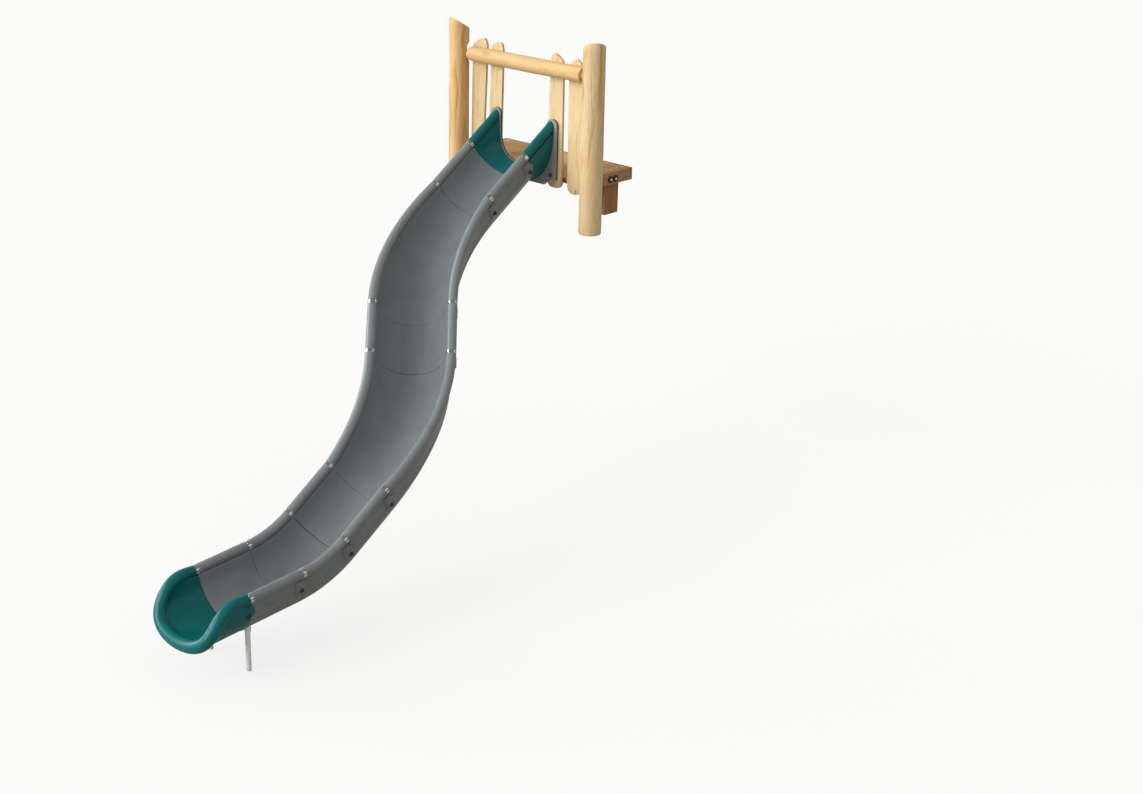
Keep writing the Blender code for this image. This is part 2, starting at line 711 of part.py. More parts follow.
start_plate = plate("start_plate", PLATE_Y, PLATE_Y + PLATE_T, PLATE, 0.0010)
plate_backing = plate("plate_backing", PLATE_Y + PLATE_T + CLEAR, PLATE_Y + PLATE_T + CLEAR + BACKING_T,
                      BLACK, 0.0010)
point = Vector((PLATE_BOLT_X, PLATE_Y, PLATE_BOLT_Z))
for target in (start_plate, plate_backing):
    boolean(target, shank_hole(point, Vector((0, -1, 0)), 0.006, 0.040), "DIFFERENCE")
bolt("plate_bolt", point, Vector((0, -1, 0)), 0.0155, 0.009, 0.006, 0.021, CAP)


# ---------------------------------------------------------------- timber
def pole(name, x, y, radius, z0, top, base, wobble, rings=8):
    """Round post with a natural, slightly uneven surface; top(x, y) gives its cut."""
    sides = 20
    bm = bmesh.new()
    levels = []
    z_top = top(x, y)
    for r in range(rings):
        f = r / (rings - 1)
        z = z0 + (z_top - z0) * f
        ring = []
        for k in range(sides):
            a = 2 * math.pi * k / sides
            rr = radius * (1.0 + wobble * 0.5 * (math.sin(2 * a + 1.3 + 2.1 * f) + 0.6 * math.sin(3 * a - 4.0 * f)))
            rr *= 1.012 - 0.024 * f
            dx = radius * wobble * 1.2 * math.sin(3.1 * f + x)
            px, py = x + dx + rr * math.cos(a), y + rr * math.sin(a)
            pz = top(px, py) if r == rings - 1 else z
            if r == rings - 2:
                pz = min(z, top(px, py) - 0.004)
            ring.append(bm.verts.new((px, py, pz)))
        levels.append(ring)
    for a, b in zip(levels, levels[1:]):
        skin(bm, a, b)
    bm.faces.new(list(reversed(levels[0])))
    bm.faces.new(levels[-1])
    return finish(name, bm, base, angle=50.0)


post_right = pole("post_right", POST_X_RIGHT, POST_Y, POST_R_RIGHT, POST_FOOT_Z,
                  lambda x, y: POST_TOP_RIGHT + RIGHT_CUT_X * (x - POST_X_RIGHT) + RIGHT_CUT_Y * (y - POST_Y),
                  WOOD, 0.016)
post_left = pole("post_left", POST_X_LEFT, POST_Y, POST_R_LEFT, POST_FOOT_Z,
                 lambda x, y: POST_TOP_LEFT + LEFT_CUT_X * (x - POST_X_LEFT) + LEFT_CUT_Y * (y - POST_Y),
                 WOOD, 0.020)
# blind hole for the crossbar's tenon
bm = bmesh.new()
lathe(bm, [(TENON_R + 0.0007, BAR_END - 0.02), (TENON_R + 0.0007, TENON_END + 0.001)], 20,
      axes(Vector((0, BAR_Y, BAR_Z)), Vector((0, 1, 0)), Vector((0, 0, 1)), Vector((1, 0, 0))))
boolean(post_right, raw("mortise", bm), "DIFFERENCE")
tidy(post_right, angle=50.0)
# notch that takes the crossbar's other end
bm = bmesh.new()
prism(bm, [(NOTCH_FLOOR, -NOTCH_LOW), (NOTCH_FLOOR, NOTCH_UP),
           (NOTCH_FLOOR + 0.070, NOTCH_UP + 0.096), (NOTCH_FLOOR + 0.070, -NOTCH_LOW - 0.096)], -0.12, 0.12,
      axes(Vector((POST_X_LEFT, POST_Y, BAR_Z)),
           Vector((math.cos(NOTCH_FACE), math.sin(NOTCH_FACE), 0.0)), Vector((0, 0, 1)),
           Vector((-math.sin(NOTCH_FACE), math.cos(NOTCH_FACE), 0.0))))
boolean(post_left, raw("notch", bm), "DIFFERENCE")
tidy(post_left, angle=50.0)


def crossbar():
    sides = 20
    bm = bmesh.new()
    rings = []
    flat = BOARD_Y - CLEAR
    stops = [(BAR_LEFT, 0.36, 0.36), (BAR_LEFT + 0.010, 0.68, 0.76), (BAR_LEFT + 0.030, 0.88, 0.96),
             (BAR_LEFT + 0.055, 1.0, 1.0), (-0.36, 1.02, 1.02), (-0.12, 0.99, 0.99), (0.12, 1.01, 1.01),
             (0.36, 0.99, 0.99), (BAR_END, 0.98, 0.98)]
    for x, upper, lower in stops:
        ring = []
        for k in range(sides):
            a = 2 * math.pi * k / sides
            rr = BAR_R * (upper if math.sin(a) > 0 else lower) * (1 + 0.008 * math.sin(2 * a + 6 * x))
            y = BAR_Y + rr * math.cos(a)
            ring.append(bm.verts.new((x, min(y, flat), BAR_Z + rr * math.sin(a))))
        rings.append(ring)
    for x in (BAR_END, TENON_END):       # shoulder and tenon
        rings.append([bm.verts.new((x, BAR_Y + TENON_R * math.cos(2 * math.pi * k / sides),
                                    BAR_Z + TENON_R * math.sin(2 * math.pi * k / sides))) for k in range(sides)])
    for a, b in zip(rings, rings[1:]):
        skin(bm, a, b)
    bm.faces.new(list(reversed(rings[0])))
    bm.faces.new(rings[-1])
    return finish("crossbar", bm, WOOD, angle=40.0)


crossbar()


def board(name, left0, left1, right0, right1, z_bottom, z_left, z_right, z_peak, peak, power_left, power_right,
          corner):
    """Shaped board. left/right edges at bottom (0) and top (1), crown peak at fraction peak."""
    outline = []
    steps = 5
    for k in range(steps + 1):      # rounded foot, left corner
        a = math.pi + (math.pi / 2) * k / steps
        outline.append((left0 + corner + corner * math.cos(a), z_bottom + corner + corner * math.sin(a)))
    for k in range(steps + 1):      # rounded foot, right corner
        a = 1.5 * math.pi + (math.pi / 2) * k / steps
        outline.append((right0 - corner + corner * math.cos(a), z_bottom + corner + corner * math.sin(a)))
    apex = left1 + (right1 - left1) * peak
    for k in range(steps + 1):      # crown, right of the peak
        q = k / steps * math.pi / 2
        outline.append((apex + (right1 - apex) * math.cos(q) ** (2 / power_right),
                        z_right + (z_peak - z_right) * math.sin(q) ** (2 / power_right)))
    for k in range(1, steps + 1):   # crown, left of the peak
        q = math.pi / 2 * (1 - k / steps)
        outline.append((apex - (apex - left1) * math.cos(q) ** (2 / power_left),
                        z_left + (z_peak - z_left) * math.sin(q) ** (2 / power_left)))
    bm = bmesh.new()
    prism(bm, outline, BOARD_Y, BOARD_Y + BOARD_T, lambda u, v, h: Vector((u, h, v)))
    return finish(name, bm, WOOD, smooth=False)


board("board_1", -0.5600, -0.5490, -0.4390, -0.4010, -0.2700, 0.6450, 0.6650, 0.7210, 0.787, 1.55, 1.5, 0.042)
board("board_2", -0.3790, -0.3575, -0.2530, -0.2370, -0.2700, 0.6400, 0.6400, 0.7105, 0.80, 2.7, 2.0, 0.042)
board("board_3", 0.2330, 0.2410, 0.3710, 0.3650, -0.2640, 0.6450, 0.6450, 0.7070, 0.36, 2.2, 1.3, 0.046)
board("board_4", 0.4290, 0.4215, 0.5600, 0.5620, -0.2810, 0.6400, 0.6400, 0.6930, 0.50, 1.35, 1.2, 0.058)

inner_x = DECK_HALF - BEAM_T - CLEAR
plank_y0 = BOARD_Y + BOARD_T + CLEAR
plank_y1 = DECK_BACK_Y - FASCIA_T - CLEAR
pitch = (plank_y1 - plank_y0 + PLANK_GAP) / PLANKS
for k in range(PLANKS):
    y = plank_y0 + k * pitch
    box("deck_plank_%d" % (k + 1), -inner_x, inner_x, y, y + pitch - PLANK_GAP, DECK_Z - PLANK_T, DECK_Z, DECK)
low = DECK_Z - BEAM_H
under = DECK_Z - PLANK_T - CLEAR
box("deck_front_beam", -inner_x, inner_x, plank_y0, plank_y0 + FRONT_BEAM_T, low, under, DARKWOOD)
rear_y0 = REAR_POST_Y + REAR_POST / 2 + CLEAR
box("deck_rear_beam", -inner_x, inner_x, rear_y0, rear_y0 + REAR_BEAM_T, low, under, DARKWOOD)
box("deck_fascia", -DECK_HALF, DECK_HALF, plank_y1 + CLEAR, DECK_BACK_Y, low, DECK_Z, DECK)
beam_right = box("deck_beam_right", DECK_HALF - BEAM_T, DECK_HALF, SIDE_BEAM_Y0, plank_y1, low, DECK_Z, DECK)
box("deck_beam_left", -DECK_HALF, -DECK_HALF + BEAM_T, SIDE_BEAM_Y0, plank_y1, low, DECK_Z, DECK)
for sign, side in ((1, "right"), (-1, "left")):
    x_out = sign * inner_x
    x_in = sign * (inner_x - REAR_POST_X)
    box("rear_post_%s" % side, min(x_out, x_in), max(x_out, x_in), REAR_POST_Y - REAR_POST / 2,
        REAR_POST_Y + REAR_POST / 2, REAR_POST_FOOT_Z, under, DARKWOOD, bevel=0.010)

rear_post_right = bpy.data.objects["rear_post_right"]
rear_beam = bpy.data.objects["deck_rear_beam"]
plus_x = Vector((1, 0, 0))
for name, y, z, radius, height, base, host in (
        ("dome_nut_front", 0.5185, -0.1810, 0.0260, 0.0130, CHROME, rear_post_right),
        ("dome_nut_rear", 0.5720, -0.1815, 0.0260, 0.0130, CHROME, rear_post_right),
        ("coach_bolt", 0.6890, -0.1900, 0.0195, 0.0080, ZINC, rear_beam)):
    point = Vector((DECK_HALF, y, z))
    boolean(beam_right, shank_hole(point, plus_x, 0.006, 0.080), "DIFFERENCE")
    boolean(host, shank_hole(point, plus_x, 0.006, 0.080), "DIFFERENCE")
    bolt(name, point, plus_x, radius, height, 0.006, 0.079, base, socket=False)

# ---------------------------------------------------------------- legs
leg_point = s7_path(s7_len - LEG_UP)
saddle_out = 0.0045
strip_up, strip_down = -0.0180, 0.0195
bm = bmesh.new()
rings = []
steps = 20
for k in range(steps + 1):
    lean = -41.5 + 83.0 * k / steps
    a = math.radians(-90 + lean)
    rib = 0.010 + 0.028 * math.exp(-((abs(lean) - 34.0) / 5.0) ** 2)
    def put(radius, t):
        return leg_point.at(radius * math.cos(a), -CENTRE_DROP + radius * math.sin(a), t)
    r0 = OUTER_LOW + CLEAR
    # angle section: a strip along the trough with a rib on its up-slope edge
    ring = [put(r0, strip_up), put(r0, strip_down), put(r0 + saddle_out, strip_down),
            put(r0 + saddle_out, strip_up + 0.005), put(r0 + rib, strip_up + 0.005),
            put(r0 + rib, strip_up)]
    rings.append([bm.verts.new(p) for p in ring])
for a, b in zip(rings, rings[1:]):
    skin(bm, a, b)
bm.faces.new(list(reversed(rings[0])))
bm.faces.new(rings[-1])
finish("leg_saddle", bm, ZINC, angle=40.0)

for sign, side in ((1, "left"), (-1, "right")):
    x = j8.pos.x + sign * LEG_SPREAD
    y = leg_point.at(0.0, -0.28, 0.0078).y
    top = leg_point.pos.z - 0.15
    bm = bmesh.new()
    inner = LEG_R - LEG_WALL
    lathe(bm, [(LEG_R - 0.001, LEG_FOOT_Z), (LEG_R, LEG_FOOT_Z + 0.001), (LEG_R, top), (inner, top),
               (inner, LEG_FOOT_Z + 0.012), (0.0, LEG_FOOT_Z + 0.012)], 20,
          axes(Vector((x, y, 0)), Vector((1, 0, 0)), Vector((0, 1, 0)), Vector((0, 0, 1))))
    leg = finish("leg_%s" % side, bm, ZINC, angle=40.0)
    # coped top, just under the saddle strip
    bm = bmesh.new()
    lathe(bm, [(OUTER_LOW + saddle_out + 0.0012, -0.2), (OUTER_LOW + saddle_out + 0.0012, 0.2)], 64,
          axes(leg_point.at(0.0, -CENTRE_DROP), leg_point.c, leg_point.n, leg_point.t))
    boolean(leg, raw("cope", bm), "DIFFERENCE")
    bm = bmesh.new()
    lathe(bm, [(LEG_HOLE_R, -0.03), (LEG_HOLE_R, 0.03)], 12,
          axes(Vector((x, y, LEG_FOOT_Z + LEG_HOLE_Z)), Vector((0, 1, 0)), Vector((0, 0, 1)), Vector((1, 0, 0))))
    boolean(leg, raw("hole", bm), "DIFFERENCE")
    tidy(leg, angle=40.0)

# ---------------------------------------------------------------- common origin
# origin: centre of the footprint box, at the level of the leg feet
low_corner = Vector((1e9, 1e9, 1e9))
high_corner = Vector((-1e9, -1e9, -1e9))
for obj in bpy.data.objects:
    if obj.type == "MESH":
        for vert in obj.data.vertices:
            for axis in range(3):
                low_corner[axis] = min(low_corner[axis], vert.co[axis])
                high_corner[axis] = max(high_corner[axis], vert.co[axis])
shift = Vector((-(low_corner.x + high_corner.x) / 2, -(low_corner.y + high_corner.y) / 2, -low_corner.z))
for obj in bpy.data.objects:
    if obj.type == "MESH":
        obj.data.transform(Matrix.Translation(shift))
print("SHIFT", [round(v, 5) for v in shift], "SIZE", [round(v, 4) for v in (high_corner - low_corner)])
for obj in sorted(bpy.data.objects, key=lambda o: o.name):
    if obj.type == "MESH":
        print("  %-24s %6d" % (obj.name, sum(len(p.vertices) - 2 for p in obj.data.polygons)))
print("TRIS", sum(sum(len(p.vertices) - 2 for p in o.data.polygons) for o in bpy.data.objects if o.type == "MESH"),
      "NODES", len([o for o in bpy.data.objects if o.type == "MESH"]))
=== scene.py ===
import math

import bmesh
import bpy
from mathutils import Matrix, Vector, noise


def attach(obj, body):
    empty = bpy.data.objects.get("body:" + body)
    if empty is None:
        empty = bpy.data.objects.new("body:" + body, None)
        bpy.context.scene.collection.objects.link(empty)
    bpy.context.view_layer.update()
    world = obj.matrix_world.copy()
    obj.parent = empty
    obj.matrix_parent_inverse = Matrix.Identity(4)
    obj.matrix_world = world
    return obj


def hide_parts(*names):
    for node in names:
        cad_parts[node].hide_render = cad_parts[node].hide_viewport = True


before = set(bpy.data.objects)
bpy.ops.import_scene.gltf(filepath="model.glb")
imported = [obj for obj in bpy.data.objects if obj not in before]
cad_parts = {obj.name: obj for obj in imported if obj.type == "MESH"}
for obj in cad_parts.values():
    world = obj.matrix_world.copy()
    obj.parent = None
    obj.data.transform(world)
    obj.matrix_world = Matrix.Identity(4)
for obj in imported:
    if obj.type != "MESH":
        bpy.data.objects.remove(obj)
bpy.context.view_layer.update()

ORIGIN = Vector((-0.24152, 1.44412, 2.586))

# ---------------------------------------------------------------- dimensions
W = 0.550
RAIL_R = 0.0338
SLOPE = math.radians(34.4)
RUN_OUT = math.radians(4.6)
TURN = math.radians(45.0)
CURVE_R = 1.097
BEND_R = 0.714
STRAIGHT = 0.4205
INNER_R = 0.239
OUTER_R = 0.305
OUTER_LOW = 0.2965
PANEL_DEPTH = 0.0125
CENTRE_DROP = 0.015
JOINT_GAP = 0.0006
RAIL_SETBACK = 0.0130
COLLAR_R = 0.0336
CLEAR = 0.0003
WALL_ROUND = 0.0030
RAIL_ROUND = 0.0022

PLATE_Y = 0.2680
PLATE_T = 0.0120
BACKING_T = 0.0100
EAR_X = 0.2835
EAR_R = 0.0495
EAR_Z = 0.1880
PLATE_EDGE_X = 0.3330
ENTRY_TOP = 0.1650
ENTRY_HALF = 0.2360
ENTRY_DEPTH = 0.3000
ENTRY_POWER = 0.656
ENTRY_OUT_HALF = 0.3050
ENTRY_OUT_DEPTH = 0.4150
ENTRY_OUT_POWER = 0.850
FOOT_Z = -0.2020
FOOT_IN_X = 0.2680
PLATE_LOW_X = 0.2190
PLATE_LOW_Z = -0.2520
PLATE_BOLT_X = 0.2860
PLATE_BOLT_Z = -0.1700

LUG_ANGLE = math.radians(13.5)
LUG_R = 0.0470
LUG_CENTRE = 0.0280
LUG_TOP = 0.0070
LUG_LIFT = 0.0012
LUG_BOLT_DOWN = 0.0205
LUG_BOLT_T = 0.0290
LUG_BOLT_R = 0.0160

POST_X_RIGHT = 0.7035
POST_X_LEFT = -0.6415
POST_Y = 0.2400
POST_R_RIGHT = 0.0806
POST_R_LEFT = 0.0753
POST_FOOT_Z = -0.5150
POST_TOP_RIGHT = 0.8100
RIGHT_CUT_X = 0.4305
RIGHT_CUT_Y = -0.4036
POST_TOP_LEFT = 0.8190
LEFT_CUT_X = -0.231
LEFT_CUT_Y = -0.550
NOTCH_FACE = math.radians(48)
NOTCH_FLOOR = 0.0500
NOTCH_UP = 0.0450
NOTCH_LOW = 0.0400
BAR_Y = 0.2585
BAR_Z = 0.6020
BAR_R = 0.0561
BAR_LEFT = -0.5590
BAR_END = 0.5895
TENON_R = 0.0300
TENON_END = 0.6550

BOARD_Y = 0.2906
BOARD_T = 0.0200
DECK_Z = -0.1290
PLANK_T = 0.0280
PLANK_GAP = 0.0040
PLANKS = 4
DECK_HALF = 0.6410
BEAM_T = 0.0400
BEAM_H = 0.0900
FRONT_BEAM_T = 0.0450
REAR_BEAM_T = 0.0600
FASCIA_T = 0.0220
DECK_BACK_Y = 0.7535
SIDE_BEAM_Y0 = 0.3240
REAR_POST = 0.1500
REAR_POST_X = 0.1450
REAR_POST_Y = 0.5830
REAR_POST_FOOT_Z = -0.4550

LEG_SPREAD = 0.1960
LEG_UP = 0.0220
LEG_R = 0.01685
LEG_FOOT_Z = -2.5860
LEG_HOLE_Z = 0.0600
LEG_HOLE_R = 0.0055

SCOOP_A = 0.3355
SCOOP_POWER = 0.294
SCOOP_FLARE = 0.45
SCOOP_HALF = 0.2736
SCOOP_DROP = 0.2888
SCOOP_SLOPE = -0.024
LIP_R0 = 0.0410
LIP_R1 = 0.0446


# studio levels
KEY = 2.50
RIM = 0.85
FILL_LOW = 0.41
FILL_TOP = 0.76
FILL_LEFT = 0.36
FLOOR_GLOW = 0.76
FLOOR_BOUNCE = (0.38, 0.370, 0.335, 1.0)


def smooth01(x):
    x = min(1.0, max(0.0, x))
    return x * x * (3 - 2 * x)


# ---------------------------------------------------------------- materials
class Nodes:
    """Small helper around a material's node tree."""

    def __init__(self, name):
        self.mat = bpy.data.materials.new(name)
        self.mat.use_nodes = True
        self.tree = self.mat.node_tree
        for n in list(self.tree.nodes):
            self.tree.nodes.remove(n)
        self.out = self.tree.nodes.new("ShaderNodeOutputMaterial")
        self.bsdf = self.tree.nodes.new("ShaderNodeBsdfPrincipled")
        self.tree.links.new(self.bsdf.outputs[0], self.out.inputs[0])

    def add(self, kind, **values):
        n = self.tree.nodes.new(kind)
        for k, v in values.items():
            if k in n.inputs:
                n.inputs[k].default_value = v
            else:
                setattr(n, k, v)
        return n

    def link(self, a, b):
        self.tree.links.new(a, b)

    def coords(self, scale=(1, 1, 1), kind="Object", rotation=(0, 0, 0), location=(0, 0, 0)):
        tc = self.add("ShaderNodeTexCoord")
        mp = self.add("ShaderNodeMapping")
        mp.inputs["Scale"].default_value = scale
        mp.inputs["Rotation"].default_value = rotation
        mp.inputs["Location"].default_value = location
        self.link(tc.outputs[kind], mp.inputs["Vector"])
        return mp.outputs["Vector"]

    def noise(self, vector, scale, detail=4.0, rough=0.55, distortion=0.0):
        n = self.add("ShaderNodeTexNoise")
        n.inputs["Scale"].default_value = scale
        n.inputs["Detail"].default_value = detail
        n.inputs["Roughness"].default_value = rough
        n.inputs["Distortion"].default_value = distortion
        self.link(vector, n.inputs["Vector"])
        return n.outputs["Fac"]

    def ramp(self, fac, stops, interpolation="LINEAR"):
        r = self.add("ShaderNodeValToRGB")
        r.color_ramp.interpolation = interpolation
        while len(r.color_ramp.elements) < len(stops):
            r.color_ramp.elements.new(0.5)
        for e, (p, c) in zip(r.color_ramp.elements, stops):
            e.position = p
            e.color = (c[0], c[1], c[2], 1.0) if hasattr(c, "__len__") else (c, c, c, 1.0)
        self.link(fac, r.inputs["Fac"])
        return r.outputs["Color"]

    def math(self, op, a, b=None, c=None, clamp=False):
        m = self.add("ShaderNodeMath")
        m.operation = op
        m.use_clamp = clamp
        for i, v in enumerate((a, b, c)):
            if v is None:
                continue
            if isinstance(v, (int, float)):
                m.inputs[i].default_value = v
            else:
                self.link(v, m.inputs[i])
        return m.outputs[0]

    def mix(self, fac, a, b, blend="MIX"):
        m = self.add("ShaderNodeMix")
        m.data_type = "RGBA"
        m.blend_type = blend
        if isinstance(fac, (int, float)):
            m.inputs[0].default_value = fac
        else:
            self.link(fac, m.inputs[0])
        for socket, v in ((m.inputs[6], a), (m.inputs[7], b)):
            if hasattr(v, "__len__"):
                socket.default_value = (v[0], v[1], v[2], 1.0)
            else:
                self.link(v, socket)
        return m.outputs[2]

    def range(self, v, lo, hi, a, b, clamp=True):
        m = self.add("ShaderNodeMapRange")
        m.clamp = clamp
        for name, x in (("From Min", lo), ("From Max", hi), ("To Min", a), ("To Max", b)):
            m.inputs[name].default_value = x
        self.link(v, m.inputs["Value"])
        return m.outputs["Result"]

    def bump(self, height, strength, distance, normal=None):
        b = self.add("ShaderNodeBump")
        b.inputs["Strength"].default_value = strength
        b.inputs["Distance"].default_value = distance
        self.link(height, b.inputs["Height"])
        if normal is not None:
            self.link(normal, b.inputs["Normal"])
        return b.outputs["Normal"]

    def set(self, name, value):
        if hasattr(value, "is_output"):
            self.link(value, self.bsdf.inputs[name])
        elif hasattr(value, "__len__"):
            self.bsdf.inputs[name].default_value = (value[0], value[1], value[2], 1.0)
        else:
            self.bsdf.inputs[name].default_value = value


def moulded(name, colour, dark, light, rough=(0.30, 0.42), scuffs=0.25, specular=0.5, path=True):
    """Rotationally moulded plastic: faint mottling, orange peel, slide scuffs along the run."""
    k = Nodes(name)
    obj = k.coords()
    cloud = k.noise(obj, 5.5, 3.0, 0.6)
    fine = k.noise(obj, 70.0, 3.0, 0.6)
    peel = k.noise(obj, 420.0, 2.0, 0.5)
    speck = k.noise(obj, 900.0, 1.0, 0.5)
    col = k.mix(k.range(cloud, 0.3, 0.72, 0.0, 1.0), dark, light)
    col = k.mix(k.range(fine, 0.35, 0.7, 0.0, 0.35), col, colour)
    roughness = k.range(cloud, 0.3, 0.7, rough[0], rough[1])
    height = peel
    if path:
        uv = k.coords((1.6, 46.0, 1.0), "UV")
        streak = k.noise(uv, 3.0, 5.0, 0.62, 0.4)
        mark = k.range(streak, 0.56, 0.74, 0.0, scuffs)
        col = k.mix(mark, col, tuple(min(1.0, c * 1.22 + 0.012) for c in light))
        roughness = k.math("ADD", roughness, k.math("MULTIPLY", mark, 0.35))
    col = k.mix(k.range(speck, 0.68, 0.8, 0.0, 0.22), col, tuple(c * 0.7 for c in dark))
    k.set("Base Color", col)
    k.set("Roughness", roughness)
    k.set("Normal", k.bump(height, 0.10, 0.0006))
    k.set("Specular IOR Level", specular)
    return k.mat


def timber(name, axis, pale, mid, dark, knot=(0.33, 0.15, 0.05), ring_scale=1.0, knots=1.0, rough=0.55, grain=1.0,
           seed=0.0):
    """Planed softwood with its grain along axis: streaks, growth bands, pores and small knots."""
    k = Nodes(name)
    long = 0.055
    stretch = [1.0, 1.0, 1.0]
    stretch[axis] = long
    loc = (seed * 3.1, seed * 1.7, seed * 2.3)
    obj = k.coords((1, 1, 1), location=loc)
    along = k.coords(tuple(stretch), location=loc)
    # slow wander of the grain
    wander = k.noise(k.coords(tuple(0.35 if i == axis else 1.0 for i in range(3)), location=loc), 5.0, 2.0, 0.5)
    shifted = k.add("ShaderNodeVectorMath")
    shifted.operation = "ADD"
    k.link(along, shifted.inputs[0])
    lift = k.add("ShaderNodeCombineXYZ")
    amount = k.math("MULTIPLY", wander, 0.10)
    for i in range(3):
        if i != axis:
            k.link(amount, lift.inputs[i])
    k.link(lift.outputs[0], shifted.inputs[1])
    vec = shifted.outputs[0]
    bands = k.noise(vec, 34.0 * ring_scale, 3.0, 0.5, 0.15)
    fine = k.noise(vec, 150.0, 4.0, 0.65)
    pores = k.noise(vec, 520.0, 2.0, 0.6)
    broad = k.noise(k.coords(tuple(0.25 if i == axis else 1.0 for i in range(3)), location=loc), 7.0, 2.0, 0.5)
    col = k.ramp(bands, [(0.28, mid), (0.42, pale), (0.53, pale), (0.62, mid), (0.76, dark)])
    col = k.mix(k.range(fine, 0.44, 0.72, 0.0, 0.50 * grain), col, dark)
    col = k.mix(k.range(broad, 0.40, 0.72, 0.0, 0.55), col, mid)
    col = k.mix(k.range(pores, 0.60, 0.80, 0.0, 0.30 * grain), col, tuple(c * 0.6 for c in dark))
    height = k.math("ADD", k.math("MULTIPLY", fine, 0.6), k.math("MULTIPLY", pores, 0.4))
    if knots > 0:
        squash = [1.0, 1.0, 1.0]
        squash[axis] = 0.42
        vo = k.add("ShaderNodeTexVoronoi")
        vo.inputs["Scale"].default_value = 5.2
        vo.inputs["Randomness"].default_value = 1.0
        k.link(k.coords(tuple(squash), location=loc), vo.inputs["Vector"])
        d = k.math("ADD", vo.outputs["Distance"], k.math("MULTIPLY", k.math("SUBTRACT", fine, 0.5), 0.03))
        size = 0.055 * knots
        halo = k.range(d, size * 0.8, size * 2.6, 0.70, 0.0)
        core = k.range(d, size * 0.35, size * 0.95, 1.0, 0.0)
        col = k.mix(halo, col, dark)
        col = k.mix(core, col, knot)
    k.set("Base Color", col)
    k.set("Roughness", k.range(fine, 0.3, 0.75, rough - 0.08, rough + 0.12))
    k.set("Specular IOR Level", 0.22)
    k.set("Normal", k.bump(height, 0.35 * grain, 0.0012))
    return k.mat


def end_grain(name, pale, dark, centre, rough=0.75):
    """Sawn log end: growth rings about centre, with fine grain noise."""
    k = Nodes(name)
    tc = k.add("ShaderNodeTexCoord")
    sub = k.add("ShaderNodeVectorMath")
    sub.operation = "SUBTRACT"
    sub.inputs[1].default_value = centre
    k.link(tc.outputs["Object"], sub.inputs[0])
    warp = k.noise(sub.outputs[0], 14.0, 3.0, 0.5)
    length = k.add("ShaderNodeVectorMath")
    length.operation = "LENGTH"
    k.link(sub.outputs[0], length.inputs[0])
    radius = k.math("ADD", length.outputs["Value"], k.math("MULTIPLY", warp, 0.012))
    ring = k.math("SINE", k.math("MULTIPLY", radius, 950.0))
    fine = k.noise(sub.outputs[0], 240.0, 3.0, 0.6)
    col = k.mix(k.range(ring, -0.8, 1.0, 0.0, 0.75), pale, dark)
    col = k.mix(k.range(fine, 0.4, 0.75, 0.0, 0.5), col, tuple(c * 0.7 for c in dark))
    k.set("Base Color", col)
    k.set("Roughness", rough)
    k.set("Normal", k.bump(k.math("ADD", k.math("MULTIPLY", ring, 0.3), fine), 0.4, 0.0010))
    return k.mat


def galvanised(name):
    k = Nodes(name)
    obj = k.coords()
    vo = k.add("ShaderNodeTexVoronoi")
    vo.inputs["Scale"].default_value = 230.0
    k.link(obj, vo.inputs["Vector"])
    sep = k.add("ShaderNodeSeparateColor")
    k.link(vo.outputs["Color"], sep.inputs[0])
    cloud = k.noise(obj, 30.0, 4.0, 0.6)
    col = k.ramp(sep.outputs[0], [(0.0, (0.76, 0.775, 0.80)), (0.5, (0.84, 0.85, 0.87)), (1.0, (0.92, 0.93, 0.945))])
    col = k.mix(k.range(cloud, 0.42, 0.80, 0.0, 0.40), col, (0.50, 0.52, 0.56))
    k.set("Base Color", col)
    k.set("Metallic", 0.12)
    k.set("Roughness", k.range(sep.outputs[1], 0.0, 1.0, 0.30, 0.50))
    k.set("Normal", k.bump(cloud, 0.12, 0.0006))
    return k.mat


def polished(name, colour, rough=(0.05, 0.11), scale=(1, 1, 1)):
    """Bright metal with fine turning marks and finger smears."""
    k = Nodes(name)
    obj = k.coords(scale)
    smear = k.noise(obj, 26.0, 3.0, 0.6)
    fine = k.noise(obj, 700.0, 2.0, 0.5)
    k.set("Base Color", k.mix(k.range(smear, 0.35, 0.7, 0.0, 0.35), colour, tuple(c * 0.86 for c in colour)))
    k.set("Metallic", 1.0)
    k.set("Roughness", k.range(smear, 0.3, 0.7, rough[0], rough[1]))
    k.set("Normal", k.bump(fine, 0.008, 0.0002))
    return k.mat


def dark_part(name, colour, rough=(0.32, 0.5), specular=0.5):
    k = Nodes(name)
    obj = k.coords()
    cloud = k.noise(obj, 60.0, 4.0, 0.6)
    fine = k.noise(obj, 900.0, 2.0, 0.5)
    k.set("Base Color", k.mix(k.range(cloud, 0.35, 0.7, 0.0, 1.0), colour, tuple(c * 1.7 + 0.004 for c in colour)))
    k.set("Roughness", k.range(cloud, 0.3, 0.7, rough[0], rough[1]))
    k.set("Normal", k.bump(fine, 0.15, 0.0003))
    k.set("Specular IOR Level", specular)
    return k.mat


GREY = moulded("grey_moulded", (0.176, 0.196, 0.210), (0.164, 0.183, 0.196), (0.196, 0.218, 0.233), (0.27, 0.36), 0.16,
               0.42)
TEAL = moulded("teal_moulded", (0.0012, 0.118, 0.122), (0.0010, 0.108, 0.111), (0.0015, 0.130, 0.135), (0.26, 0.34),
               0.05, 0.24)
STEEL = polished("mirror_band", (0.74, 0.73, 0.71), (0.04, 0.09))
CHROME = polished("chrome_nut", (0.80, 0.80, 0.81), (0.04, 0.08))
ZINC = galvanised("galvanised")
CAP = dark_part("black_cap", (0.016, 0.016, 0.018), (0.30, 0.44))
DULL = dark_part("dull_zinc", (0.165, 0.172, 0.176), (0.34, 0.50))
GREY_CAP = dark_part("grey_cap", (0.040, 0.046, 0.050), (0.30, 0.44))
SOCKET = dark_part("socket_floor", (0.050, 0.052, 0.056), (0.30, 0.42))
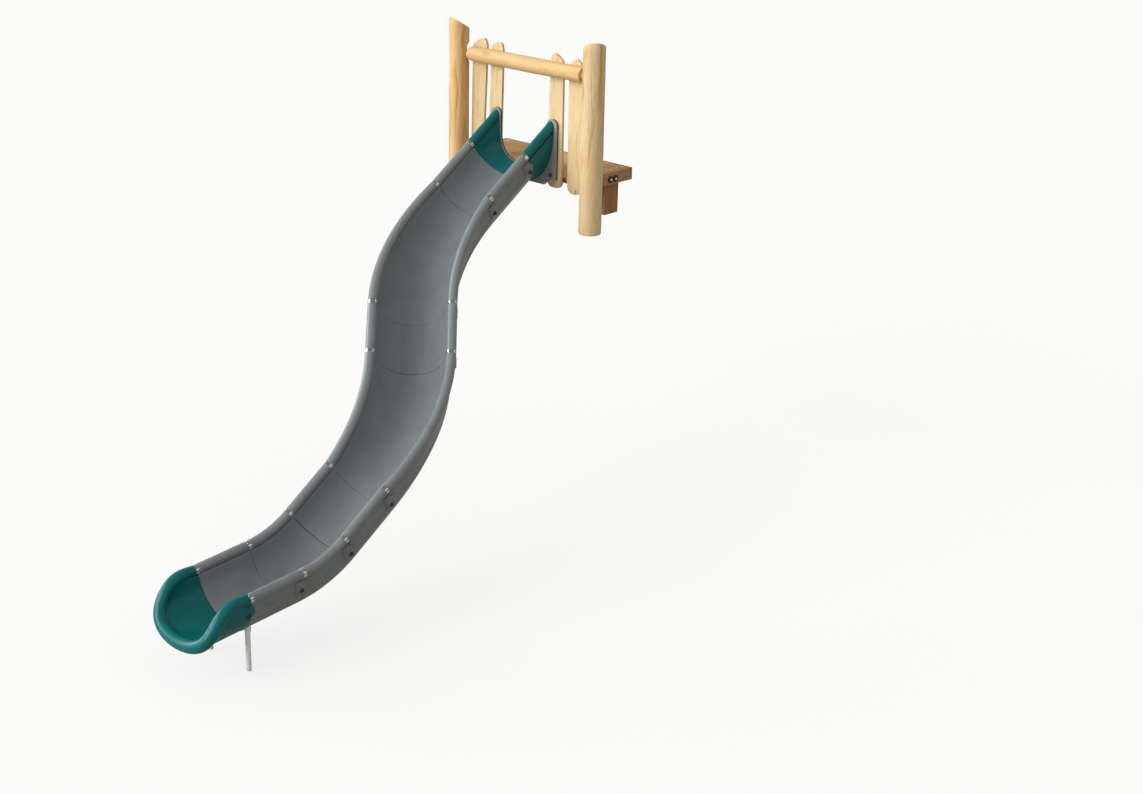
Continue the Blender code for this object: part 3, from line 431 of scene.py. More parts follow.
BLACK = dark_part("black_backing", (0.008, 0.008, 0.009), (0.45, 0.6), 0.3)
PLATE = moulded("plate_face", (0.262, 0.282, 0.288), (0.245, 0.264, 0.270), (0.285, 0.305, 0.312), (0.30, 0.42), 0.0,
                0.5, path=False)
# painted highlight: near-white grey for the plate's rounded edge and sides, standing in for the light those edges catch
PLATE_EDGE_HIGHLIGHT = moulded("plate_edge_painted_highlight", (0.76, 0.77, 0.77), (0.70, 0.71, 0.71), (0.82, 0.83, 0.83), (0.22, 0.30), 0.0, 0.6,
                    path=False)

POST_WOOD = timber("post_timber", 2, (0.700, 0.545, 0.330), (0.640, 0.430, 0.205), (0.450, 0.230, 0.075), ring_scale=0.8,
                   seed=1.0)
LEFT_WOOD = timber("post_timber_warm", 2, (0.720, 0.500, 0.250), (0.660, 0.385, 0.140), (0.440, 0.185, 0.045),
                   ring_scale=0.8, seed=9.0)
BAR_WOOD = timber("bar_timber", 0, (0.650, 0.470, 0.240), (0.605, 0.400, 0.175), (0.460, 0.245, 0.085), seed=2.0)
BOARD_WOOD = timber("board_timber", 2, (0.700, 0.560, 0.335), (0.650, 0.480, 0.250), (0.520, 0.325, 0.135),
                    ring_scale=1.4, knots=0.7, seed=3.0)
# painted shade: dark brown timber for the boards' edges and for the faces inside the post cuts, standing in for the
# shade there
EDGE_SHADE_WOOD = timber("edge_painted_shade_timber", 2, (0.360, 0.138, 0.030), (0.290, 0.104, 0.021), (0.180, 0.060, 0.012), knots=0.0,
                    seed=4.0)
DECK_WOOD = timber("deck_timber", 0, (0.560, 0.355, 0.170), (0.480, 0.275, 0.115), (0.300, 0.145, 0.050), seed=5.0,
                   knots=0.8, rough=0.6)
BEAM_WOOD = timber("beam_timber", 1, (0.430, 0.250, 0.110), (0.370, 0.200, 0.078), (0.260, 0.120, 0.040), seed=6.0,
                   rough=0.6)
STUB_WOOD = timber("stub_timber", 2, (0.330, 0.175, 0.075), (0.270, 0.130, 0.048), (0.170, 0.072, 0.024), seed=7.0,
                   rough=0.62)
FASCIA_WOOD = timber("fascia_timber", 0, (0.430, 0.235, 0.100), (0.360, 0.175, 0.065), (0.240, 0.100, 0.034), seed=8.0,
                     knots=0.6, rough=0.6)
END_LEFT = end_grain("log_end_left", (0.170, 0.090, 0.036), (0.100, 0.050, 0.018),
                     tuple(ORIGIN + Vector((POST_X_LEFT, POST_Y, POST_TOP_LEFT))))
END_RIGHT = end_grain("log_end_right", (0.300, 0.180, 0.075), (0.200, 0.110, 0.042),
                      tuple(ORIGIN + Vector((POST_X_RIGHT, POST_Y, POST_TOP_RIGHT))))
# end grain of the bar's shoulder, much darker than the bar: real end grain plus painted shade
SHADED_BAR_END_GRAIN = end_grain("bar_end_grain_painted_shade", (0.120, 0.046, 0.016), (0.066, 0.024, 0.008),
                    tuple(ORIGIN + Vector((BAR_END, BAR_Y, BAR_Z))))


# ---------------------------------------------------------------- mesh tools
class Mesh:
    """Vertex and face lists with a material index and a path coordinate per vertex."""

    def __init__(self):
        self.verts, self.faces, self.mats, self.uv = [], [], [], []

    def point(self, p, uv=(0.0, 0.0)):
        self.verts.append(p)
        self.uv.append(uv)
        return len(self.verts) - 1

    def ring(self, points, uvs=None):
        return [self.point(p, uvs[i] if uvs else (0.0, 0.0)) for i, p in enumerate(points)]

    def face(self, f, mat=0):
        f = list(f)
        clean = [v for i, v in enumerate(f) if v != f[i - 1]]
        if len(set(clean)) >= 3:
            self.faces.append(clean)
            self.mats.append(mat)

    def skin(self, a, b, closed=True, mat=0):
        n = len(a)
        for i in range(n if closed else n - 1):
            j = (i + 1) % n
            self.face((a[i], a[j], b[j], b[i]), mat)

    def build(self, name, materials, angle=35.0, body="root", shift=True, flat=False):
        mesh = bpy.data.meshes.new(name)
        mesh.from_pydata([tuple(v) for v in self.verts], [], self.faces)
        mesh.polygons.foreach_set("material_index", self.mats)
        layer = mesh.uv_layers.new(name="path")
        for loop in mesh.loops:
            layer.data[loop.index].uv = self.uv[loop.vertex_index]
        bm = bmesh.new()
        bm.from_mesh(mesh)
        bmesh.ops.recalc_face_normals(bm, faces=bm.faces)
        if bm.calc_volume(signed=True) < 0:
            bmesh.ops.reverse_faces(bm, faces=bm.faces)
        bm.to_mesh(mesh)
        bm.free()
        return place(name, mesh, materials, angle, body, shift, flat)


def place(name, mesh, materials, angle=35.0, body="root", shift=True, flat=False):
    obj = bpy.data.objects.new(name, mesh)
    bpy.context.scene.collection.objects.link(obj)
    if shift:
        mesh.transform(Matrix.Translation(ORIGIN))
    mesh.materials.clear()
    for m in materials:
        mesh.materials.append(m)
    if flat:
        mesh.shade_flat()
    else:
        mesh.shade_smooth()
        mesh.set_sharp_from_angle(angle=math.radians(angle))
    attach(obj, body)
    return obj


def from_bm(name, bm, materials, angle=35.0, flat=False):
    bmesh.ops.recalc_face_normals(bm, faces=bm.faces)
    if bm.calc_volume(signed=True) < 0:
        bmesh.ops.reverse_faces(bm, faces=bm.faces)
    mesh = bpy.data.meshes.new(name)
    bm.to_mesh(mesh)
    bm.free()
    return place(name, mesh, materials, angle, "root", True, flat)


def loose(name, bm):
    bmesh.ops.recalc_face_normals(bm, faces=bm.faces)
    if bm.calc_volume(signed=True) < 0:
        bmesh.ops.reverse_faces(bm, faces=bm.faces)
    mesh = bpy.data.meshes.new(name)
    bm.to_mesh(mesh)
    bm.free()
    obj = bpy.data.objects.new(name, mesh)
    bpy.context.scene.collection.objects.link(obj)
    return obj


def evaluated_mesh(obj):
    graph = bpy.context.evaluated_depsgraph_get()
    graph.update()
    return bpy.data.meshes.new_from_object(obj.evaluated_get(graph))


def drop(obj):
    mesh = obj.data
    bpy.data.objects.remove(obj, do_unlink=True)
    if mesh.users == 0:
        bpy.data.meshes.remove(mesh)


def cut(target, cutter, operation="DIFFERENCE"):
    mod = target.modifiers.new("cut", "BOOLEAN")
    mod.operation = operation
    mod.solver = "EXACT"
    mod.object = cutter
    result = evaluated_mesh(target)
    target.modifiers.remove(mod)
    old = target.data
    target.data = result
    bpy.data.meshes.remove(old)
    drop(cutter)


def prism(bm, outline, low, high, where):
    a = [bm.verts.new(where(u, v, low)) for u, v in outline]
    b = [bm.verts.new(where(u, v, high)) for u, v in outline]
    n = len(outline)
    for i in range(n):
        j = (i + 1) % n
        bm.faces.new((a[i], a[j], b[j], b[i]))
    low_face = bm.faces.new(list(reversed(a)))
    high_face = bm.faces.new(b)
    return low_face, high_face, a, b


def lathe(mesh, profile, sides, where, mats=None, radius_of=None):
    """Turned shape in a Mesh; radius_of(angle, radius, index) may change a ring's outline."""
    rings = []
    for i, (r, h) in enumerate(profile):
        if r <= 0.0:
            rings.append([mesh.point(where(0.0, 0.0, h))])
            continue
        ring = []
        for k in range(sides):
            a = 2 * math.pi * k / sides
            rr = radius_of(a, r, i) if radius_of else r
            ring.append(mesh.point(where(rr * math.cos(a), rr * math.sin(a), h)))
        rings.append(ring)
    for i, (a, b) in enumerate(zip(rings, rings[1:])):
        mat = mats[i] if mats else 0
        for k in range(sides):
            m = (k + 1) % sides
            if len(a) == 1:
                mesh.face((a[0], b[m], b[k]), mat)
            elif len(b) == 1:
                mesh.face((a[k], a[m], b[0]), mat)
            else:
                mesh.face((a[k], a[m], b[m], b[k]), mat)
    if len(rings[0]) > 1:
        mesh.face(list(reversed(rings[0])), mats[0] if mats else 0)
    if len(rings[-1]) > 1:
        mesh.face(rings[-1], mats[-1] if mats else 0)


def axes(origin, u, v, w):
    return lambda a, b, c: origin + u * a + v * b + w * c


def frame_about(direction):
    d = direction.normalized()
    side = Vector((0, 0, 1)).cross(d)
    if side.length < 1e-6:
        side = Vector((1, 0, 0))
    side.normalize()
    return side, d.cross(side), d


# ---------------------------------------------------------------- chute path
class Station:
    def __init__(self, pos, heading, slope):
        ch, sh = math.cos(heading), math.sin(heading)
        cs, ss = math.cos(slope), math.sin(slope)
        self.pos = Vector(pos)
        self.t = Vector((ch * cs, sh * cs, -ss))
        self.c = Vector((-sh, ch, 0.0))
        self.n = Vector((ch * ss, sh * ss, cs))
        self.heading = heading
        self.slope = slope

    def at(self, c, n, t=0.0):
        return self.pos + self.c * c + self.n * n + self.t * t


def straight_path(start, length):
    def path(s):
        return Station(start.pos + start.t * s, start.heading, start.slope)
    return path, length


def curve_path(start, turn):
    def path(s):
        angle = s / CURVE_R * (1 if turn > 0 else -1)
        chord = 2 * CURVE_R * math.sin(abs(angle) / 2)
        mid = start.heading + angle / 2
        sign = 1 if s >= 0 else -1
        pos = start.pos + Vector((sign * chord * math.cos(mid), sign * chord * math.sin(mid),
                                  -s * math.tan(start.slope)))
        return Station(pos, start.heading + angle, start.slope)
    return path, CURVE_R * abs(turn)


def bend_path(start, end_slope):
    def path(s):
        slope = start.slope - s / BEND_R
        run = BEND_R * (math.sin(start.slope) - math.sin(slope))
        fall = BEND_R * (math.cos(slope) - math.cos(start.slope))
        pos = start.pos + Vector((run * math.cos(start.heading), run * math.sin(start.heading), -fall))
        return Station(pos, start.heading, slope)
    return path, BEND_R * (start.slope - end_slope)


j1 = Station((0, 0, 0), math.radians(-90), SLOPE)
s1_path, s1_len = straight_path(j1, STRAIGHT)
j2 = s1_path(s1_len)
c2_path, c2_len = curve_path(j2, TURN)
j3 = c2_path(c2_len)
s3_path, s3_len = straight_path(j3, STRAIGHT)
j4 = s3_path(s3_len)
c4_path, c4_len = curve_path(j4, -TURN)
j5 = c4_path(c4_len)
s5_path, s5_len = straight_path(j5, STRAIGHT)
j6 = s5_path(s5_len)
b6_path, b6_len = bend_path(j6, RUN_OUT)
j7 = b6_path(b6_len)
s7_path, s7_len = straight_path(j7, STRAIGHT)
j8 = s7_path(s7_len)
joints = [j1, j2, j3, j4, j5, j6, j7, j8]
for joint in joints:
    joint.outer = OUTER_LOW if joint in (j7, j8) else OUTER_R


# ---------------------------------------------------------------- trough section
INNER_A = [90.0 - 3.0 * k for k in range(28)] + [6.6, 4.6]
LEDGE = [(0.2389, -0.0292), (0.2402, -0.0270), (0.2424, -0.0257), (0.2452, -0.0250), (0.2479, -0.0240)]
UPPER = [222 - 9.0 * k for k in range(1, 32)]           # rail, from the inner contact over the top
CONTACT_IN, CONTACT_OUT = 222.0, -62.0
SADDLE = [230, 239, 248, 257, 266, 275, 284, 291]
SHOULDER = [(0.3020, -0.0306), (0.3060, -0.0335), (0.3055, -0.0425)]
SHOULDER_LOW = [(0.2915, -0.0330), (0.2922, -0.0375), (0.2925, -0.0440)]
OUTER_A = [7.0, 8.6, 9.8, 11.0, 12.2, 13.6, 15.0, 16.4, 17.8, 19.2, 20.4, 21.2, 21.6, 22.0, 22.8, 23.8, 24.8, 25.8,
           26.6, 27.2, 27.6, 28.4, 29.4, 30.6, 32.0, 33.6, 35.4, 37.4, 39.6, 42.0] + [45.0 + 3.0 * k for k in range(16)]


def outline(outer_r):
    """Right half of the section: list of (c, n, kind, angle)."""
    pts = []
    for a in INNER_A:
        r = math.radians(a)
        pts.append((INNER_R * math.cos(r), -CENTRE_DROP - INNER_R * math.sin(r), "inner", a))
    for c, n in LEDGE:
        pts.append((c, n, "ledge", 0.0))
    def rail(a, kind):
        r = math.radians(a)
        return (W / 2 + RAIL_R * math.cos(r), RAIL_R * math.sin(r), kind, a)
    pts.append(rail(CONTACT_IN, "contact"))
    for a in UPPER:
        if a > CONTACT_OUT + 2:
            pts.append(rail(a, "rail"))
    pts.append(rail(CONTACT_OUT, "contact"))
    for k, (c, n) in enumerate(SHOULDER):
        pts.append((c - (OUTER_R - outer_r), n, "shoulder", float(k)))
    for a in OUTER_A:
        r = math.radians(a)
        pts.append((outer_r * math.cos(r), -CENTRE_DROP - outer_r * math.sin(r), "outer", a))
    return pts


def recess_across(a):
    return 1.0 - min(1.0, max(0.0, (a - 21.6) / 5.6))


def recess_along(s, length, a, scale):
    """1 on the recessed side, 0 on the raised pads beside the two joints."""
    ramp = 0.0050
    across = math.radians(a - math.degrees(LUG_ANGLE)) * OUTER_R
    # lower end: pad edge that follows the next module's tongue
    reach = LUG_R + 0.0105
    low = max(-0.010, math.sqrt(max(0.0, reach * reach - across * across)) - LUG_CENTRE)
    foot = smooth01(((length - s) / scale - low) / ramp)
    # upper end: straight edge down-slope, slanted edge below the bolt
    head = smooth01((s / scale - 0.0600) / ramp)
    slant = -0.010 + 0.072 * max(0.0, (a - 22.0) / 9.0)
    head = max(head, smooth01((slant - s / scale) / ramp))
    return head * foot


def inward(kind, c, n, a):
    """Direction a point moves in when a module's end is rounded."""
    if kind == "inner":
        r = math.radians(a)
        return (math.cos(r), -math.sin(r), 1.0)
    if kind == "outer":
        r = math.radians(a)
        return (-math.cos(r), math.sin(r), 1.0)
    if kind == "ledge":
        return (0.35, -0.94, 0.7)
    if kind == "shoulder":
        return (-1.0, 0.0, 0.9)
    return (0.0, 0.0, 0.0)


def module_rings(mesh, path, length, outer, scale, seams=(1.0, 1.0)):
    """Builds rings along the path; returns nothing, adds faces to mesh."""
    back, wr, rr = RAIL_SETBACK * scale, WALL_ROUND, RAIL_ROUND

    def ring(s, wall_in, rail_in, with_rail):
        st = path(s)
        r = outer[0] + (outer[1] - outer[0]) * min(1.0, max(0.0, s / length))
        right = outline(r)
        total = 0.0
        pts = []
        last = None
        for c, n, kind, a in right:
            if last is not None:
                total += math.hypot(c - last[0], n - last[1])
            last = (c, n)
            dc, dn, wgt = inward(kind, c, n, a)
            cc, nn = c + dc * wgt * wall_in, n + dn * wgt * wall_in
            if kind == "rail":
                d = (W / 2 - c) / RAIL_R, -n / RAIL_R
                edge = min(1.0, (222.0 - a) / 18.0, (a + 62.0) / 18.0)
                cc, nn = c + d[0] * rail_in * edge, n + d[1] * rail_in * edge
            if kind == "shoulder":
                deep = recess_along(s, length, 5.5, scale)
                low_c, low_n = SHOULDER_LOW[int(a)]
                cc += (low_c - SHOULDER[int(a)][0]) * deep
                nn += (low_n - SHOULDER[int(a)][1]) * deep
            if kind == "outer":
                depth = PANEL_DEPTH * recess_across(a) * recess_along(s, length, a, scale)
                ra = math.radians(a)
                cc -= depth * math.cos(ra)
                nn += depth * math.sin(ra)
            pts.append((cc, nn, kind, total))
        loop = []
        for sign in (1, -1):
            half = []
            for cc, nn, kind, u in (pts if sign == 1 else pts[1:-1]):
                if kind == "rail" and not with_rail:
                    continue
                half.append((kind, mesh.point(st.at(sign * cc, nn), (s, sign * u))))
            if not with_rail:
                first = next(i for i, (k, v) in enumerate(half) if k == "contact")
                saddle = []
                for a in SADDLE:
                    ra = math.radians(a)
                    saddle.append(("saddle", mesh.point(
                        st.at(sign * (W / 2 + RAIL_R * math.cos(ra)), RAIL_R * math.sin(ra)), (s, 0.6))))
                half = half[:first + 1] + saddle + half[first + 1:]
            loop.append(half if sign == 1 else list(reversed(half)))
        return loop[0] + loop[1]

    def bridge(a, b):
        mesh.skin([v for k, v in a], [v for k, v in b])

    def wall_steps(at_head):
        out = []
        for q in (1.0, 0.72, 0.42, 0.16, 0.0):
            phi = q * math.pi / 2
            gap = JOINT_GAP * scale * seams[0 if at_head else 1]
            d = gap + wr * scale * (1 - math.sin(phi))
            out.append((d if at_head else length - d, wr * (1 - math.cos(phi))))
        return out

    def rail_steps(at_head):
        out = []
        for q in (1.0, 0.72, 0.42, 0.16, 0.0):
            phi = q * math.pi / 2
            d = back + rr * scale * (1 - math.sin(phi))
            out.append((d if at_head else length - d, rr * (1 - math.cos(phi))))
        return out

    def rail_cap(full, wall):
        """Closes the rail ends: rail run of the full ring against the saddle of the wall ring."""
        for part in (0, 1):
            fi = [i for i, (k, v) in enumerate(full) if k == "contact"]
            wi = [i for i, (k, v) in enumerate(wall) if k == "contact"]
            f = [v for k, v in full[fi[2 * part]:fi[2 * part + 1] + 1]]
            w = [v for k, v in wall[wi[2 * part]:wi[2 * part + 1] + 1]]
            mesh.face(f + list(reversed(w[1:-1])))

    def merged(full, wall):
        """The full ring, sharing every vertex that the wall ring also has."""
        shared = [v for k, v in wall if k != "saddle"]
        out, i = [], 0
        for k, v in full:
            if k == "rail":
                out.append((k, v))
            else:
                out.append((k, shared[i]))
                i += 1
        return out

    # head end
    walls = [ring(s, w, 0.0, False) for s, w in wall_steps(True)]
    walls.append(ring(back, 0.0, 0.0, False))
    mesh.face([v for k, v in walls[0]])
    for a, b in zip(walls, walls[1:]):
        bridge(a, b)
    steps = rail_steps(True)
    first = merged(ring(steps[0][0], 0.0, steps[0][1], True), walls[-1])
    rail_cap(first, walls[-1])
    current = first
    for s, w in steps[1:]:
        nxt = ring(s, 0.0, w, True)
        bridge(current, nxt)
        current = nxt
    stops = []
    s = back + rr * scale + 0.002 * scale
    while s < 0.075 * scale:
        stops.append(s)
        s += 0.0022 * scale
    body = length - 0.15 * scale
    count = max(2, int(body / 0.020))
    for k in range(count + 1):
        stops.append(0.075 * scale + body * k / count)
    tail = [length - x for x in reversed(stops) if x < 0.0749 * scale]
    for s in stops + tail:
        nxt = ring(s, 0.0, 0.0, True)
        bridge(current, nxt)
        current = nxt
    # foot end
    steps = list(reversed(rail_steps(False)))
    for s, w in steps[:-1]:
        nxt = ring(s, 0.0, w, True)
        bridge(current, nxt)
        current = nxt
    wall = ring(length - back, 0.0, 0.0, False)
    last = merged(ring(steps[-1][0], 0.0, steps[-1][1], True), wall)
    bridge(current, last)
    rail_cap(last, wall)
    walls = [wall] + [ring(s, w, 0.0, False) for s, w in reversed(wall_steps(False))]
    for a, b in zip(walls, walls[1:]):
        bridge(a, b)
    mesh.face([v for k, v in walls[-1]])


def chute_module(name, path, length, outer=(OUTER_R, OUTER_R), curved=False, seams=(1.0, 1.0)):
    mesh = Mesh()
    module_rings(mesh, path, length, outer, math.cos(SLOPE) if curved else 1.0, seams)
    # drop the unused doubles left by merged rings
    obj = mesh.build(name + "_look", [GREY], 38.0)
    bm = bmesh.new()
    bm.from_mesh(obj.data)
    lone = [v for v in bm.verts if not v.link_faces]
    bmesh.ops.delete(bm, geom=lone, context="VERTS")
    bm.to_mesh(obj.data)
    bm.free()
    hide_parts(name)
    return obj


chute_module("straight_1", s1_path, s1_len, seams=(1.0, 1.6))
chute_module("curve_left", c2_path, c2_len, curved=True, seams=(1.6, 0.6))
chute_module("straight_2", s3_path, s3_len, seams=(0.6, 2.2))
chute_module("curve_right", c4_path, c4_len, curved=True, seams=(2.2, 0.6))
chute_module("straight_3", s5_path, s5_len, seams=(0.6, 2.4))
chute_module("run_out_bend", b6_path, b6_len, (OUTER_R, OUTER_LOW), seams=(2.4, 1.6))
chute_module("run_out", s7_path, s7_len, (OUTER_LOW, OUTER_LOW), seams=(1.6, 1.2))


# ---------------------------------------------------------------- start section
def entry_point(a, grow=0.0, outside=False):
    half, depth, power = ENTRY_HALF + grow, ENTRY_DEPTH + grow, ENTRY_POWER
    if outside:
        half, depth, power = ENTRY_OUT_HALF, ENTRY_OUT_DEPTH, ENTRY_OUT_POWER
    return (half * abs(math.cos(a)) ** power if a < math.pi / 2 - 1e-6 else 0.0,
            ENTRY_TOP - depth * math.sin(a) ** power)


def start_section():
    mesh = Mesh()
    foot = j1
    steps = 26
    right = outline(OUTER_R)

    def ring(q, wall_in, rail_in, back, with_rail):
        """q 0 at the plate, 1 at the joint end of the rails; back is the distance to the joint."""
        loop = []
        total, last = 0.0, None
        pts = []
        for c, n, kind, a in right:
            if last is not None:
                total += math.hypot(c - last[0], n - last[1])
            last = (c, n)
            dc, dn, wgt = inward(kind, c, n, a)
            cc, nn = c + dc * wgt * wall_in, n + dn * wgt * wall_in
            if kind == "rail":
                d = (W / 2 - c) / RAIL_R, -n / RAIL_R
                edge = min(1.0, (222.0 - a) / 18.0, (a + 62.0) / 18.0)
                cc, nn = c + d[0] * rail_in * edge, n + d[1] * rail_in * edge
            pts.append((cc, nn, kind, a, total))
        for sign in (1, -1):
            half = []
            for cc, nn, kind, a, u in (pts if sign == 1 else pts[1:-1]):
                if kind == "rail" and not with_rail:
                    continue
                end = foot.at(sign * cc, nn, -back)
                if q < 1.0:
                    reach = (PLATE_Y - CLEAR - end.y) / -foot.t.y
                    start = end - foot.t * reach
                    if kind in ("inner", "outer"):
                        x, z = entry_point(math.radians(a), outside=(kind == "outer"))
                        start = Vector((sign * x, start.y, z))
                    middle = end - foot.t * (reach * 0.5)
                    p = start * (1 - q) ** 2 + middle * (2 * q * (1 - q)) + end * q * q
                else:
                    p = end
                half.append((kind, mesh.point(p, (q * 0.3, sign * u))))
            if not with_rail:
                first = next(i for i, (k, v) in enumerate(half) if k == "contact")
                saddle = []
                for sa in SADDLE:
                    ra = math.radians(sa)
                    saddle.append(("saddle", mesh.point(
                        foot.at(sign * (W / 2 + RAIL_R * math.cos(ra)), RAIL_R * math.sin(ra), -back))))
                half = half[:first + 1] + saddle + half[first + 1:]
            loop.append(half if sign == 1 else list(reversed(half)))
        return loop[0] + loop[1]

    def bridge(a, b):
        mesh.skin([v for k, v in a], [v for k, v in b])

    end_back = RAIL_SETBACK + RAIL_ROUND
    current = ring(0.0, 0.0, 0.0, end_back, True)
    mesh.face([v for k, v in current])
    for k in range(1, steps + 1):
        nxt = ring(k / steps, 0.0, 0.0, end_back, True)
        bridge(current, nxt)
        current = nxt
    for q in (0.16, 0.42, 0.72):
        phi = q * math.pi / 2
        nxt = ring(1.0, 0.0, RAIL_ROUND * (1 - math.cos(phi)), RAIL_SETBACK + RAIL_ROUND * (1 - math.sin(phi)), True)
        bridge(current, nxt)
        current = nxt
    wall = ring(1.0, 0.0, 0.0, RAIL_SETBACK, False)
    last = ring(1.0, 0.0, RAIL_ROUND, RAIL_SETBACK, True)
    shared = [v for k, v in wall if k != "saddle"]
    out, i = [], 0
    for k, v in last:
        if k == "rail":
            out.append((k, v))
        else:
            out.append((k, shared[i]))
            i += 1
    last = out
    bridge(current, last)
    for part in (0, 1):
        fi = [i for i, (k, v) in enumerate(last) if k == "contact"]
        wi = [i for i, (k, v) in enumerate(wall) if k == "contact"]
        f = [v for k, v in last[fi[2 * part]:fi[2 * part + 1] + 1]]
        w = [v for k, v in wall[wi[2 * part]:wi[2 * part + 1] + 1]]
        mesh.face(f + list(reversed(w[1:-1])))
    current = wall
    for q in (0.0, 0.16, 0.42, 0.72, 1.0):
        phi = q * math.pi / 2
        nxt = ring(1.0, WALL_ROUND * (1 - math.cos(phi)), 0.0, JOINT_GAP + WALL_ROUND * (1 - math.sin(phi)), False)
        bridge(current, nxt)
        current = nxt
    mesh.face([v for k, v in current])
    obj = mesh.build("start_section_look", [TEAL], 38.0)
    bm = bmesh.new()
    bm.from_mesh(obj.data)
    bmesh.ops.delete(bm, geom=[v for v in bm.verts if not v.link_faces], context="VERTS")
    bm.to_mesh(obj.data)
    bm.free()
    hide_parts("start_section")


start_section()


# ---------------------------------------------------------------- exit scoop
exit_frame = Station(j8.pos, j8.heading, SCOOP_SLOPE)


def lip_point(phi, sign):
    reach = SCOOP_A * math.sin(phi) ** SCOOP_POWER
    c = SCOOP_HALF * math.cos(phi) * (1 + SCOOP_FLARE * math.sin(phi) ** 2)
    return exit_frame.at(sign * c, -SCOOP_DROP * math.sin(phi), reach)


def scoop_wall(phi, sign, x, shift):
    mid = (INNER_R + OUTER_LOW) / 2
    root = j8.at(sign * mid * math.cos(phi), -CENTRE_DROP - mid * math.sin(phi), JOINT_GAP)
    end = lip_point(phi, sign)
    control = root + j8.t * ((end - root).length * 0.62)
    p = root * (1 - x) ** 2 + control * (2 * x * (1 - x)) + end * x * x
    return p + (j8.c * (sign * math.cos(phi)) - j8.n * math.sin(phi)) * shift


def build_scoop():
    columns = []
    p = 3.0
    while p < 89.5:
        columns.append(p)
        p += 1.0 if p < 20 else (2.0 if p < 50 else 2.5)
    columns.append(90.0)
    columns = [(math.radians(p), 1) for p in columns]
    columns += [(p, -1) for p, sign in reversed(columns[:-1])]
    rows = 24
    half = (OUTER_LOW - INNER_R) / 2
    bm = bmesh.new()
    grids = [[[bm.verts.new(scoop_wall(phi, sign, k / rows, side * half)) for k in range(rows + 1)]
              for phi, sign in columns] for side in (-1, 1)]
    inner, outer = grids
    count = len(columns)
    for grid in (inner, outer):
        for i in range(count - 1):
            for k in range(rows):
                bm.faces.new((grid[i][k], grid[i + 1][k], grid[i + 1][k + 1], grid[i][k + 1]))
    for i in range(count - 1):
        for k in (0, rows):
            bm.faces.new((inner[i][k], inner[i + 1][k], outer[i + 1][k], outer[i][k]))
    for i in (0, count - 1):
        for k in range(rows):
            bm.faces.new((inner[i][k], inner[i][k + 1], outer[i][k + 1], outer[i][k]))
    bmesh.ops.triangulate(bm, faces=bm.faces[:])
    wall = loose("scoop_wall", bm)

    us = [0.02 + 0.025 * k for k in range(34)]
    track = [(math.asin(u ** (1 / SCOOP_POWER)), 1, u) for u in us]
    last_phi = track[-1][0]
    deg = math.degrees(last_phi) + 1.5
    while deg < 89.0:
        track.append((math.radians(deg), 1, math.sin(math.radians(deg)) ** SCOOP_POWER))
        deg += 2.0
    track.append((math.radians(90), 1, 1.0))
    track += [(phi, -1, u) for phi, sign, u in reversed(track[:-1])]
    centres = [lip_point(phi, sign) for phi, sign, u in track]
    track = [(0.0, 1, 0.0)] + track + [(0.0, -1, 0.0)]
    centres = [j8.at(W / 2, 0.0, RAIL_SETBACK)] + centres + [j8.at(-W / 2, 0.0, RAIL_SETBACK)]
    sides = 44
    bm = bmesh.new()
    rings = []
    for i, centre in enumerate(centres):
        if i == 0:
            d = j8.t.copy()
        elif i == len(centres) - 1:
            d = -j8.t
        else:
            d = (centres[i + 1] - centres[i - 1]).normalized()
        phi, sign, v = track[i]
        outward = j8.c * (sign * math.cos(phi)) + Vector((0, 0, -1)) * math.sin(phi)
        side_vec = (outward - d * outward.dot(d)).normalized()
        other = d.cross(side_vec)
        grow = min(1.0, v / 0.45)
        radius = RAIL_R + (LIP_R0 - RAIL_R) * grow * grow * (3 - 2 * grow) + (LIP_R1 - LIP_R0) * math.sin(phi)
        rings.append([bm.verts.new(centre + side_vec * (radius * math.cos(2 * math.pi * k / sides))
                                   + other * (radius * math.sin(2 * math.pi * k / sides))) for k in range(sides)])
    for a, b in zip(rings, rings[1:]):
        for k in range(sides):
            m = (k + 1) % sides
            bm.faces.new((a[k], a[m], b[m], b[k]))
    bm.faces.new(list(reversed(rings[0])))
    bm.faces.new(rings[-1])
    lip = loose("scoop_lip", bm)

    # both shells become one skin with a soft inside corner along the lip
    bm = bmesh.new()
    bm.from_mesh(wall.data)
    bm.from_mesh(lip.data)
    drop(lip)
    drop(wall)
    both = loose_keep("scoop_both", bm)
    mod = both.modifiers.new("skin", "REMESH")
    mod.mode = "VOXEL"
    mod.voxel_size = 0.0034
    mod.use_smooth_shade = True
    sm = both.modifiers.new("soft", "SMOOTH")
    sm.factor = 0.5
    sm.iterations = 9
    mesh = evaluated_mesh(both)
    drop(both)
    obj = bpy.data.objects.new("scoop_tmp", mesh)
    bpy.context.scene.collection.objects.link(obj)
    for sign in (1, -1):
        # room for the steel band under the rail end
        bm = bmesh.new()
        origin = j8.at(sign * W / 2, 0.0, 0.0)
        where = axes(origin, j8.c, j8.n, j8.t)
        sides = 40
        prism(bm, [((RAIL_R + 0.0004) * math.cos(2 * math.pi * k / sides),
                    (RAIL_R + 0.0004) * math.sin(2 * math.pi * k / sides)) for k in range(sides)],
              -0.03, RAIL_SETBACK, where)
        cut(obj, loose("room", bm))
    mesh = obj.data.copy()
    drop(obj)
    layer = mesh.uv_layers.new(name="path")
    obj = place("exit_scoop_look", mesh, [TEAL], 40.0)
    for poly in mesh.polygons:
        poly.material_index = 0
    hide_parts("exit_scoop")
    return obj


def loose_keep(name, bm):
    mesh = bpy.data.meshes.new(name)
    bm.to_mesh(mesh)
    bm.free()
    obj = bpy.data.objects.new(name, mesh)
    bpy.context.scene.collection.objects.link(obj)
    return obj


build_scoop()


